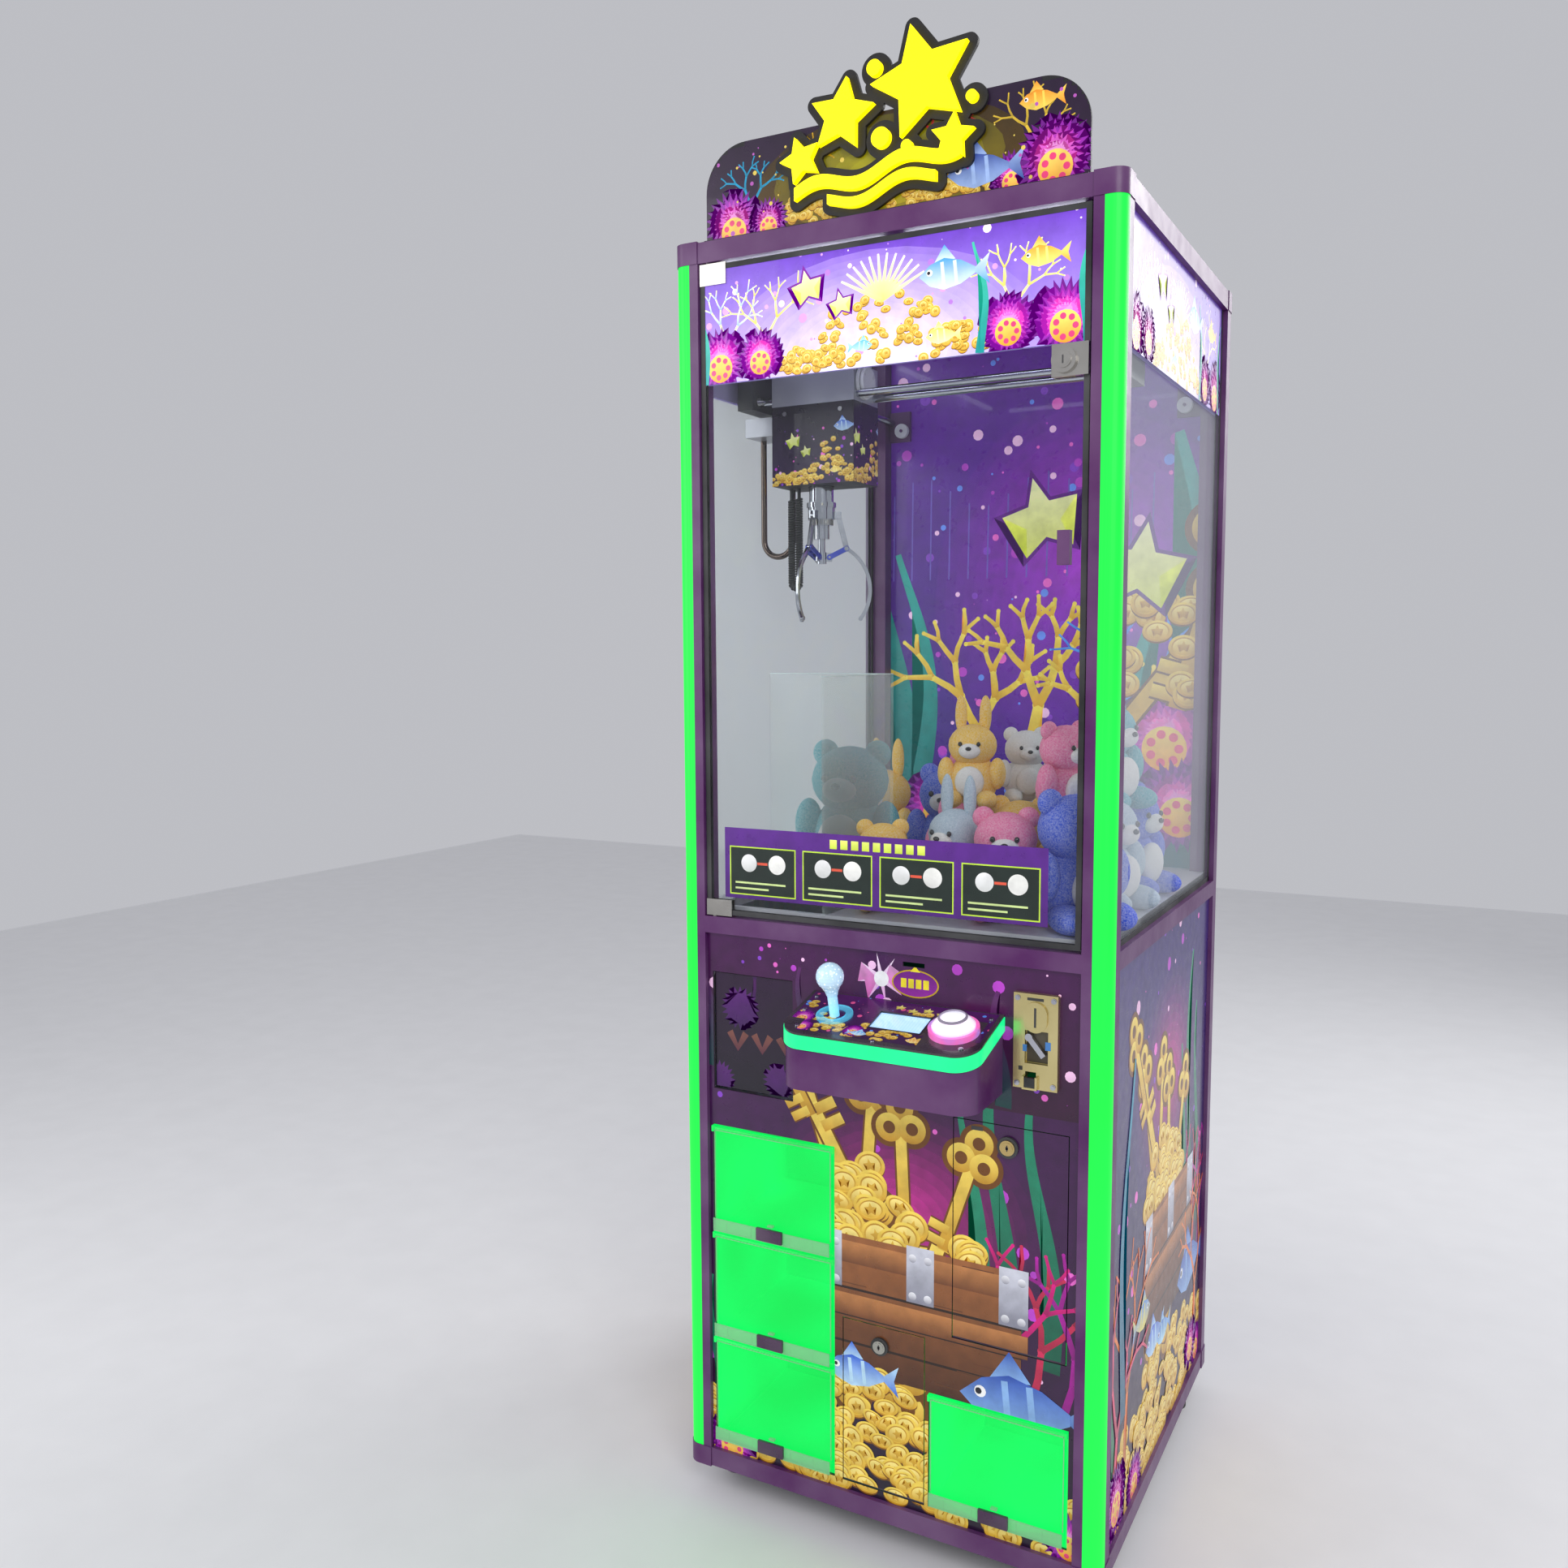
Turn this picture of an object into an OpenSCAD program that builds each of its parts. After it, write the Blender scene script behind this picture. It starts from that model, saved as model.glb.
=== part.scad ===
// Claw crane prize machine: a glass cabinet with a gantry crane over a prize deck, a console
// with joystick and push button, a coin acceptor, a prize chute and four lockable prize boxes.
// Millimetres. The front faces -Y and the floor is z = 0. The origin is on the floor, at the
// centre of the outer box in plan, console included.

/* [Cabinet] */
// Width over the corner posts
body_w = 700; // [690:2:740]
// Depth over the corner posts
body_d = 740; // [730:5:800]
// Height of the bottom rails above the floor
foot_gap = 55; // [50:1:70]
// Height of the underside of the middle rails
mid_z = 961; // [960:1:980]
// Height of the underside of the top rails
top_z = 2000; // [1990:5:2050]
// Side of a corner post
post = 43; // [42:1:44]
// Height of the top and bottom rails
rail_h = 31; // [30:1:34]
// Height of the middle rails
mid_h = 27; // [25:1:30]
// Thickness of the safety glass
glass_t = 6; // [5:0.5:8]
// Thickness of the sheet metal front
sheet = 3; // [2:0.5:4]

/* [Console] */
// Width of the console box
console_w = 304; // [300:2:320]
// How far the console stands out of the cabinet
console_p = 115; // [115:1:125]
// Height of the console's underside
console_z = 770; // [765:1:775]
// Height of the console's top where it meets the cabinet
console_back_z = 884; // [880:1:890]
// Slope of the console's top towards the player
slope = 14; // [12:1:16]
// Height of the lit band under the console's top
band_h = 20; // [16:1:22]
// Diameter of the push button
button_d = 72; // [64:1:74]

/* [Crane] */
// Length of the claw's drop
drop = 420; // [380:5:425]
// Diameter of the gantry rods
rod_d = 12; // [10:1:12]
// Diameter of the depth rails
rail_d = 13.5; // [12:0.5:13.5]
// Width of the crane box
crane_w = 147; // [144:1:170]
// Depth of the crane box
crane_d = 90; // [88:1:100]

/* [Sign] */
// Height of the sign board over the cabinet
sign_h = 140; // [120:5:160]
// Thickness of the sign board
sign_t = 5; // [4:1:6]

/* [Hidden] */
$fn = 48;

// Plan position: d is the depth behind the cabinet's front face.
cap_proud = 1.5;
band_proud = 3;
front_y = (console_p + band_proud - body_d - cap_proud) / 2;
function fy(d) = front_y + d;
back = body_d;
half_w = body_w / 2;
wall = 2;
bar = 30;
deck_z = mid_z + mid_h;
deck_t = 15;
deck_front = 23;
cab_top = top_z + rail_h;
rail_top = foot_gap + rail_h;
inner_x = half_w - post;
panel_in = 8;
glass_in = 5;
glass_side = half_w - 15.5;

// Lit strip in each front corner post, as seen in plan.
led_w = 28;
led_d = 20;
led_r = 18;

// Front panel openings: [left, low, width, height]
stack_cut = [-300.5, 101.5, 221, 541];
right_cut = [79.5, 101.5, 218, 183];
flap_cut = [-298, 703, 146, 194];
service_cut = [116.5, 381.5, 176, 342];
small_cut = [-65.5, 100.5, 139, 270];
coin_cut = [216, 800, 55, 112];
card_cut = [35, 941, 35, 7];
gap = 1.5;

// Prize boxes
box_pitch = 180;
box_depth = 250;
box_wall = 3;
ear = 3.5;
pin_r = 2;
pin_free = 0.1;
door_h = 176;
door_t = 4;
pin_d = 5;
pin_drop = 5;

// Chute
chute_x = -103;
chute_back = 268;
chute_front = 32;
chute_wall_z = 1371;

// Console
console_x = 40;
console_r = 35;
deck_plate = 3;
stick_at = [-87, -65];
button_at = [102, -65];
screen_at = [17, -61];
screen_size = [80, 47];
stick_pivot = -22;
stick_hole = 17;

// Crane
rod_z = 1815;
rod_front = 162;
rod_back = 224;
rail_x = 300;
rail_z = 1864;
crane_x = -260;
crane_front = 148;
crane_low = 1677;
crane_top = 1803;
cover_top = 1862;
claw_x = -193;
claw_d = 192;
claw_free = 22;
carriage_front = 130;
carriage_len = 132;
carriage_w = 28;

// Claw linkage in the plane of an arm: [distance from the claw's axis, height]
arm_pivot = [28, 1629];
elbow = [41, 1577];
hub_pivot = [13, 1563];
prong_r = 78;
prong_from = 60;
prong_to = -37;
prong_centre = elbow - prong_r * [cos(prong_from), sin(prong_from)];
prong_rod = 3;
arm_t = 4.4;
link_t = 2;
link_gap = 4.3;
drum_r = 15.3;
drum_back = 17;
drum_z = 1745;
arm_dirs = [28.7, 148.7, 268.7];

// Colours
purple = [0.27, 0.02, 0.30];
green = [0.0, 1.0, 0.42];
steel = [0.75, 0.76, 0.80];
dark = [0.06, 0.05, 0.08];
clear = [0.85, 0.95, 1.0, 0.35];
gold = [0.85, 0.75, 0.30];

// ---------------------------------------------------------------- general shapes

module both_sides() {
    children();
    mirror([1, 0, 0]) children();
}

module block(x, d, z) {
    translate([x[0], fy(d[0]), z[0]])
        cube([x[1] - x[0], d[1] - d[0], z[1] - z[0]]);
}

module round_square(size, r) {
    translate([r, 0]) square([size[0] - 2 * r, size[1]]);
    translate([0, r]) square([size[0], size[1] - 2 * r]);
    for (x = [r, size[0] - r], y = [r, size[1] - r]) translate([x, y]) circle(r);
}

module cyl_x(r, x, d, z) {
    translate([x[0], fy(d), z]) rotate([0, 90, 0]) cylinder(r = r, h = x[1] - x[0]);
}

module cyl_y(r, x, d, z) {
    translate([x, fy(d[0]), z]) rotate([-90, 0, 0]) cylinder(r = r, h = d[1] - d[0]);
}

// A square whose outer corner, at the origin, is rounded.
module corner_square(size, r) {
    difference() {
        square(size);
        difference() {
            translate([-1, -1]) square(r + 1);
            translate([r, r]) circle(r);
        }
    }
}

module at_corners() {
    for (sx = [0, 1], sy = [0, 1])
        mirror([sx, 0, 0])
            translate([-half_w, sy == 0 ? fy(0) : fy(back), 0])
                mirror([0, sy, 0]) children();
}

module front_corners() {
    for (sx = [0, 1])
        mirror([sx, 0, 0]) translate([-half_w, fy(0), 0]) children();
}

module rear_corners() {
    for (sx = [0, 1])
        mirror([sx, 0, 0])
            translate([-half_w, fy(back), 0]) mirror([0, 1, 0]) children();
}

// ---------------------------------------------------------------- frame

module corner_posts() {
    color(purple) {
        front_corners() translate([0, 0, rail_top]) linear_extrude(top_z - rail_top)
            difference() {
                square(post);
                translate([-1, -1]) square([led_w + 1, led_d + 1]);
                translate([led_w + wall, wall])
                    square([post - led_w - 2 * wall, post - 2 * wall]);
                translate([wall, led_d + wall])
                    square([post - 2 * wall, post - led_d - 2 * wall]);
            }
        rear_corners() translate([0, 0, rail_top]) linear_extrude(top_z - rail_top)
            difference() {
                corner_square(post, led_r);
                translate([wall, wall]) corner_square(post - 2 * wall, led_r - wall);
            }
    }
}

module led_corner_strips() {
    color(green)
        front_corners() translate([0, 0, rail_top]) linear_extrude(top_z - rail_top)
            intersection() {
                corner_square(post, led_r);
                square([led_w, led_d]);
            }
}

module corner_caps() {
    at_height = [foot_gap, top_z];
    color(purple)
        for (i = [0, 1]) at_corners()
            translate([-cap_proud, -cap_proud, at_height[i] - (i == 0 ? 2 : 0)])
                linear_extrude(rail_h + 2) corner_square(post + cap_proud, led_r + 2);
}

module box_tube_x(x, d, z) {
    difference() {
        block(x, d, z);
        block([x[0] - 1, x[1] + 1], [d[0] + wall, d[1] - wall], [z[0] + wall, z[1] - wall]);
    }
}

module box_tube_y(x, d, z) {
    difference() {
        block(x, d, z);
        block([x[0] + wall, x[1] - wall], [d[0] - 1, d[1] + 1], [z[0] + wall, z[1] - wall]);
    }
}

door_pin_x = -292;
door_pin_d = 8;
door_pin_r = 4;

module frame_rails() {
    levels = [[foot_gap, rail_top], [mid_z, deck_z], [top_z, cab_top]];
    color(purple) difference() {
        for (z = levels) {
            for (d = [[0, bar], [back - bar, back]])
                box_tube_x([-inner_x, inner_x], d, z);
            both_sides()
                box_tube_y([half_w - bar, half_w], [post, back - post], z);
        }
        for (z = [deck_z - wall - 1, top_z - 1])
            translate([door_pin_x, fy(door_pin_d), z])
                cylinder(r = door_pin_r + pin_free, h = wall + 2);
    }
}

// Two plates alike: the cabinet's floor and its roof.
module cover_plates() {
    color(dark) for (z = [foot_gap + 5, cab_top - 18]) {
        block([-half_w + bar, half_w - bar], [post, back - post], [z, z + 12]);
        block([-half_w + post, half_w - post], [bar, back - bar], [z, z + 12]);
    }
}

module levelling_feet() {
    foot_x = half_w - 40;
    color(dark)
        both_sides() for (d = [95, back - 95]) translate([foot_x, fy(d), 0]) {
            cylinder(r = 24, h = 7);
            translate([0, 0, 7]) cylinder(r = 16, h = 6);
            translate([0, 0, 13]) cylinder(r = 6, h = foot_gap + 5 - 13);
            translate([0, 0, foot_gap - 5]) cylinder(r = 9.8, h = 9, $fn = 6);
        }
}

// ---------------------------------------------------------------- panels and glass

module cut(c, d) {
    block([c[0], c[0] + c[2]], d, [c[1], c[1] + c[3]]);
}

module front_panel() {
    through = [panel_in - 1, panel_in + sheet + 1];
    color(dark) difference() {
        block([-inner_x, inner_x], [panel_in, panel_in + sheet], [rail_top, mid_z]);
        for (c = [stack_cut, right_cut, flap_cut, service_cut, small_cut, coin_cut, card_cut])
            cut(c, through);
    }
}

module side_panels() {
    color([0.18, 0.10, 0.45]) both_sides()
        block([half_w - 10, half_w - 10 + sheet], [post, back - post], [rail_top, mid_z]);
}

module side_glasses() {
    color(clear) both_sides()
        block([glass_side, glass_side + glass_t], [post, back - post], [deck_z, top_z]);
}

module rear_wall() {
    color([0.25, 0.12, 0.55]) {
        block([-inner_x, inner_x], [back - 16, back - 10], [deck_z, top_z]);
        difference() {
            block([-inner_x, inner_x], [back - 13, back - 10], [rail_top, mid_z]);
            block([-30, 30], [back - 20, back], [150, 200]);
        }
    }
}

module play_deck() {
    color([0.85, 0.85, 0.88]) difference() {
        block([-glass_side, glass_side], [deck_front, back - 16], [deck_z, deck_z + deck_t]);
        both_sides() for (d = [[0, post], [back - post, back]])
            block([inner_x, half_w], d, [deck_z - 1, deck_z + deck_t + 1]);
        block([-glass_side + 32, chute_x], [chute_front, chute_back], [deck_z - 1, deck_z + deck_t + 1]);
    }
}

module chute_walls() {
    z = [deck_z + deck_t, chute_wall_z];
    color(clear) {
        block([chute_x, chute_x + 4], [14, chute_back + 4], z);
        block([-glass_side, chute_x], [chute_back, chute_back + 4], z);
    }
}

// Side outline of the duct's walls: [depth, height]
module duct_side() {
    polygon([[14, 690], [chute_back, 750], [chute_back, deck_z], [chute_front, deck_z],
             [chute_front, mid_z - 3], [14, mid_z - 3]]);
}

module chute_duct() {
    left = -302;
    color(steel) {
        difference() {
            translate([left, fy(0), 0]) rotate([90, 0, 90]) linear_extrude(chute_x - left)
                duct_side();
            translate([left + wall, fy(0), wall + 1]) rotate([90, 0, 90])
                linear_extrude(chute_x - left - 2 * wall) polygon([
                    [chute_front + wall, 694.3 + wall], [chute_back - wall, 750],
                    [chute_back - wall, deck_z + 5], [chute_front + wall, deck_z + 5]]);
            translate([left + wall, fy(0), 0]) rotate([90, 0, 90])
                linear_extrude(chute_x - left - 2 * wall) polygon([
                    [10, 692], [chute_front + 10, 699.6], [chute_front + 10, 903], [10, 903]]);
        }
        for (x = [[-300, -297], [-153, -150]]) difference() {
            block(x, [13.5 - 4, 17.5], [889, 903]);
            block([x[0] - 1, x[1] + 1], [0, panel_in + sheet + 0.3], [880, 910]);
            cyl_x(pin_r + pin_free, [x[0] - 1, x[1] + 1], 14.5, 893.5);
        }
    }
}

module prize_flap() {
    color([0.18, 0.05, 0.22]) {
        block([-296, -154], [13, 16], [706, 895]);
        cyl_x(pin_r, [-300, -150], 14.5, 893.5);
    }
}

// ---------------------------------------------------------------- prize boxes and their doors

module prize_box(c, n) {
    low = [c[0] + 0.5, c[1] + 0.5];
    w = c[2] - 1;
    h = c[3] - 1;
    rim = panel_in + sheet + 0.2;
    step = h / n;
    difference() {
        block([low[0], low[0] + w], [rim, box_depth], [low[1], low[1] + h]);
        for (i = [0 : n - 1])
            block([low[0] + ear, low[0] + w - ear], [rim - 1, box_depth - box_wall],
                  [low[1] + i * step + box_wall, low[1] + (i + 1) * step - box_wall]);
    }
    for (i = [1 : n], x = [low[0], low[0] + w - ear])
        block([x, x + ear], [pin_d - 4, rim],
              [low[1] + i * step - pin_drop - 5, low[1] + i * step - 0.5]);
    for (i = [1 : n])
        cyl_x(pin_r, [low[0] + ear, low[0] + w - ear], pin_d, low[1] + i * step - pin_drop);
}

module prize_boxes() {
    color(green) {
        prize_box(stack_cut, 3);
        prize_box(right_cut, 1);
    }
}

// x: left edge of the box, w: its width, top: height of the box's top edge
module prize_door(x, w, top) {
    a = x + ear + 0.5;
    b = x + w - ear - 0.5;
    low = top - door_h;
    mid = (a + b) / 2;
    color(clear) difference() {
        union() {
            cyl_x(4, [a, b], pin_d, top - pin_drop);
            block([a, b], [pin_d - 2, pin_d - 2 + door_t], [low, top - pin_drop]);
            block([a, b], [-3, pin_d - 2 + door_t], [low, low + 22]);
            block([mid - 23, mid + 23], [-8, -2.5], [low + 4, low + 24]);
        }
        cyl_x(pin_r + pin_free, [a - 1, b + 1], pin_d, top - pin_drop);
    }
}

module stack_door(i) {
    step = (stack_cut[3] - 1) / 3;
    prize_door(stack_cut[0] + 0.5, stack_cut[2] - 1, stack_cut[1] + 0.5 + i * step);
}
module prize_door_top() stack_door(3);
module prize_door_middle() stack_door(2);
module prize_door_bottom() stack_door(1);
module prize_door_right()
    prize_door(right_cut[0] + 0.5, right_cut[2] - 1, right_cut[1] + right_cut[3] - 0.5);

// ---------------------------------------------------------------- doors

module cam_lock(x, z, front, r) {
    color(gold) {
        cyl_y(r + 5, x, [front - 4, front], z);
        cyl_y(r, x, [front - 6, front + 14], z);
        block([x - 6, x + 26], [front + 11, front + 13.5], [z - 6, z + 6]);
    }
}

module service_door() {
    c = service_cut;
    color(dark) cut([c[0] + gap, c[1] + gap, c[2] - 2 * gap, c[3] - 2 * gap],
                    [panel_in, panel_in + sheet]);
    cam_lock(202, 692, panel_in, 10);
}

module small_door() {
    c = small_cut;
    color(dark) cut([c[0] + gap, c[1] + gap, c[2] - 2 * gap, c[3] - 2 * gap],
                    [panel_in, panel_in + sheet]);
    cam_lock(-1, 338, panel_in, 9);
}

module glass_door() {
    color(clear) block([-inner_x + 2.5, inner_x - 2.5], [glass_in, glass_in + glass_t],
                       [deck_z + 4, top_z - 4]);
}

// Two pivot clamps, the lock case and the finger pull, all on the glass.
module glass_door_fittings() {
    left = -inner_x + 2.5;
    outer = [glass_in - 2.5, glass_in];
    inner = [glass_in + glass_t, glass_in + glass_t + 2.5];
    color(steel) {
        for (z = [[top_z - 34, top_z - 4], [deck_z + 4, deck_z + 28]])
            for (d = [outer, inner]) block([left, left + 46], d, z);
        for (z = [[top_z - 4, top_z - 2], [deck_z + 2, deck_z + 4]])
            block([left, left + 46], [glass_in - 2.5, glass_in + glass_t + 2.5], z);
        translate([door_pin_x, fy(door_pin_d), top_z - 2]) cylinder(r = door_pin_r, h = 10);
        translate([door_pin_x, fy(door_pin_d), deck_z - 6]) cylinder(r = door_pin_r, h = 8);
        block([254, inner_x - 2.5], [glass_in - 8, glass_in], [1773, 1816]);
        block([254, inner_x - 2.5], inner, [1773, 1816]);
        cyl_y(17, 272, [glass_in - 14, glass_in - 8], 1794);
        cyl_y(11, 272, [glass_in - 16, glass_in - 14], 1794);
    }
    color(purple) block([267, 283], [glass_in - 12, glass_in], [1524, 1569]);
}

// ---------------------------------------------------------------- console

module on_deck() {
    translate([console_x, fy(panel_in), console_back_z]) rotate([slope, 0, 0]) children();
}

module console_outline(grow) {
    w = console_w + 2 * grow;
    len = console_p + panel_in + grow;
    r = console_r + grow;
    translate([-w / 2, r - len]) square([w, len - r]);
    translate([r - w / 2, -len]) square([w - 2 * r, r]);
    for (s = [-1, 1]) translate([s * (w / 2 - r), r - len]) circle(r);
}

module console_prism(grow, low) {
    translate([console_x, fy(panel_in), low]) linear_extrude(200) console_outline(grow);
}

module console_slab(lo, hi) {
    on_deck() translate([-250, -200, lo]) cube([500, 300, hi - lo]);
}

module console_box() {
    color(purple) difference() {
        console_prism(0, console_z);
        console_prism(-2.5, console_z + 2.5);
        console_slab(-band_h, 200);
    }
}

module console_led_band() {
    color(green) difference() {
        intersection() {
            console_prism(band_proud, console_z);
            console_slab(-band_h, 0);
        }
        console_prism(-6, console_z - 1);
    }
}

module console_deck() {
    color(gold) difference() {
        intersection() {
            console_prism(band_proud - 1, console_z);
            console_slab(0, deck_plate);
        }
        on_deck() translate([stick_at[0], stick_at[1], -1]) cylinder(r = stick_hole, h = 10);
        on_deck() translate([button_at[0], button_at[1], -1]) cylinder(r = 33, h = 10);
        on_deck() translate([screen_at[0] - screen_size[0] / 2,
                             screen_at[1] - screen_size[1] / 2, -1])
            cube([screen_size[0], screen_size[1], 10]);
    }
}

module screen_module() {
    color([0.45, 0.70, 1.0]) on_deck()
        translate([screen_at[0] - screen_size[0] / 2 + 0.3,
                   screen_at[1] - screen_size[1] / 2 + 0.3, -9])
            cube([screen_size[0] - 0.6, screen_size[1] - 0.6, 11]);
}

module on_stick() {
    on_deck() translate([stick_at[0], stick_at[1], 0]) children();
}

// Clear flange on the deck, and the switch housing under it.
module joystick_base() {
    color(clear) on_stick() {
        translate([0, 0, deck_plate]) difference() {
            cylinder(r = 28, h = 3);
            translate([0, 0, -1]) cylinder(r = stick_hole, h = 6);
        }
        difference() {
            translate([-30, -27, -42]) cube([60, 54, 42]);
            translate([0, 0, -44]) cylinder(r = 19, h = 46);
            translate([-24, 0, stick_pivot]) rotate([0, 90, 0])
                cylinder(r = pin_r + pin_free, h = 48);
        }
    }
}

module joystick_gimbal() {
    color(steel) on_stick() translate([0, 0, stick_pivot]) {
        difference() {
            translate([0, 0, -4]) cylinder(r = 16, h = 8);
            translate([0, 0, -5]) cylinder(r = 11, h = 10);
            rotate([90, 0, 0]) translate([0, 0, -20]) cylinder(r = pin_r + pin_free, h = 40);
        }
        for (x = [-23, 15]) translate([x, 0, 0]) rotate([0, 90, 0]) cylinder(r = pin_r, h = 8);
    }
}

module joystick_stick() {
    color(clear) on_stick() {
        translate([0, 0, -50]) cylinder(r = 4, h = 50);
        translate([0, 0, -4]) cylinder(r = 7.5, h = 41);
        translate([0, 15.5, stick_pivot]) rotate([90, 0, 0]) cylinder(r = pin_r, h = 31);
        rotate_extrude() polygon(concat(
            [[0, 37], [8.5, 37], [10.5, 44]],
            [for (a = [-45 : 15 : 90]) [21 * cos(a), 67 + 21 * sin(a)]]));
    }
}

module on_button() {
    on_deck() translate([button_at[0], button_at[1], 0]) children();
}

module button_ring() {
    color([0.9, 0.3, 0.7]) on_button() {
        translate([0, 0, deck_plate]) difference() {
            cylinder(r = button_d / 2 + 1, h = 9);
            translate([0, 0, -1]) cylinder(r = button_d / 2 - 4, h = 11);
        }
        difference() {
            translate([0, 0, -30]) cylinder(r = 32.5, h = 30 + deck_plate);
            translate([0, 0, -28]) cylinder(r = 30, h = 40);
        }
    }
}

module button_dome() {
    dome_r = button_d / 2 - 4.5;
    color([0.98, 0.98, 1.0]) on_button() {
        translate([0, 0, deck_plate + 1]) cylinder(r = 29.5, h = 8);
        translate([0, 0, deck_plate + 9]) cylinder(r = dome_r, h = 3);
        translate([0, 0, deck_plate + 12]) intersection() {
            translate([0, 0, -dome_r * 0.75]) sphere(r = dome_r * 1.25);
            cylinder(r = dome_r * 1.1, h = 40);
        }
        translate([0, 0, -18]) cylinder(r = 8, h = 24);
    }
}

module dome_screws() {
    deck = [[-140, -18], [-140, -60], [-128, -108], [0, -121], [128, -108], [141, -18]];
    plate = [[217, 794], [217, 918], [270, 794], [270, 918]];
    color(steel) {
        for (p = deck) on_deck() translate([p[0], p[1], deck_plate]) {
            cylinder(r = 4, h = 1.2);
            translate([0, 0, 1.2]) cylinder(r = 2.8, h = 1);
        }
        for (p = plate) {
            cyl_y(4, p[0], [-3.6, -2], p[1]);
            cyl_y(2.8, p[0], [-4.6, -3.6], p[1]);
        }
    }
}

// ---------------------------------------------------------------- coin acceptor

lever_pivot = [234, 862];

module coin_acceptor() {
    face = -2;
    color(gold) difference() {
        union() {
            block([211, 276], [face, panel_in], [787, 925]);
            block([219, 268], [panel_in, 92], [803, 909]);
            translate([244, fy(face), 892]) rotate([90, 0, 0]) linear_extrude(4)
                union() {
                    translate([0, 5]) circle(17);
                    translate([0, -5]) circle(17);
                    translate([-17, -5]) square([34, 10]);
                }
            block([226, 248], [face - 6, face + 1], [787, 806]);
        }
        block([242.5, 245.5], [face - 10, 60], [878, 906]);
        block([229, 245], [face - 10, 26], [790, 812]);
        block([228, 262], [face - 1, panel_in - 3], [824, 872]);
        cyl_y(pin_r + pin_free, lever_pivot[0], [0, panel_in + 10], lever_pivot[1]);
    }
}

module reject_lever() {
    color(steel) {
        cyl_y(pin_r, lever_pivot[0], [-4, panel_in + 9], lever_pivot[1]);
        cyl_y(5.5, lever_pivot[0], [-4, 3], lever_pivot[1]);
        translate([lever_pivot[0], fy(-4), lever_pivot[1]]) rotate([0, 50, 0])
            translate([0, 0, -4]) cube([34, 7, 8]);
    }
}

// ---------------------------------------------------------------- sign

sign_d = 15;
emblem_t = 10;

module star(r, turn, at) {
    translate(at) rotate(turn)
        polygon([for (i = [0 : 9]) let (q = i % 2 == 0 ? r : r * 0.5)
                 [-q * sin(i * 36), q * cos(i * 36)]]);
}

// Wavy ribbon from x = a to b, centred on height z0 with a rising slope
function wave(x, z0) = z0 + 0.10 * x + 9 * sin(x * 2.6);
module ribbon(a, b, z0, t) {
    polygon(concat([for (x = [a : 6 : b]) [x, wave(x, z0) - t]],
                   [for (x = [b : -6 : a]) [x, wave(x, z0) + t]]));
}

module emblem_shape() {
    star(78, 12, [62, 2196]);
    star(52, -10, [-62, 2172]);
    star(34, 16, [-128, 2122]);
    star(33, -6, [108, 2112]);
    ribbon(-138, 120, 2088, 9);
    translate([0, -26]) ribbon(-84, 84, 2088, 7);
    for (b = [[0, 2130, 14], [-10, 2226, 11], [136, 2160, 8], [40, 2112, 8]])
        translate([b[0], b[1]]) circle(b[2]);
}

module sign_board() {
    r = 68;
    color(dark) {
        block([-298, 298], [6, 30], [cab_top, cab_top + 3]);
        translate([0, fy(sign_d + sign_t), 0]) rotate([90, 0, 0]) linear_extrude(sign_t) {
            translate([-298, cab_top + 3]) square([596, sign_h - r - 3]);
            translate([-298 + r, cab_top + 3]) square([596 - 2 * r, sign_h - 3]);
            for (s = [-1, 1]) translate([s * (298 - r), cab_top + sign_h - r]) circle(r);
        }
        difference() {
            translate([0, fy(sign_d), 0]) rotate([90, 0, 0]) linear_extrude(6)
                offset(r = 12, $fn = 24) emblem_shape();
            block([-300, 300], [0, sign_d + 1], [cab_top - 40, cab_top]);
        }
    }
}

module sign_emblem() {
    color([1, 1, 0]) translate([0, fy(sign_d - 6), 0]) rotate([90, 0, 0])
        linear_extrude(emblem_t) emblem_shape();
}

// ---------------------------------------------------------------- inside the lower cabinet

module power_unit() {
    color(steel) {
        block([-90, 90], [back - 142, back - 32], [foot_gap + 17, foot_gap + 17 + 150]);
        block([-25, 25], [back - 32, back - 8], [153, 197]);
    }
}

module control_board() {
    color([0.05, 0.35, 0.15]) {
        block([half_w - 18, half_w - 14], [320, 520], [520, 780]);
        for (z = [545, 620, 700]) block([half_w - 40, half_w - 18], [345, 495], [z, z + 40]);
        for (d = [330, 510], z = [530, 770]) cyl_x(4, [half_w - 14, half_w - 10], d, z);
    }
}

module cash_box() {
    color(steel) difference() {
        block([130, 282], [30, 230], [420, 560]);
        block([132, 280], [32, 228], [422, 570]);
    }
    color(steel) block([120, half_w - 10], [46, 250], [412, 420]);
}

// ---------------------------------------------------------------- gantry

module depth_rails() {
    color(steel) both_sides() cyl_y(rail_d / 2, rail_x, [40, back - 24], rail_z);
}

pulley_x = 277;
pulley_z = 1846;
pulley_d = back - 34;

module rail_brackets() {
    color(purple) both_sides() {
        block([rail_x - 14, rail_x + 6], [34, 40], [rail_z - 20, top_z]);
        block([rail_x - 38, rail_x + 5], [back - 24, back - 16], [pulley_z - 20, rail_z + 20]);
        cyl_y(3, pulley_x, [pulley_d - 2, back - 24], pulley_z);
    }
}

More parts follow.
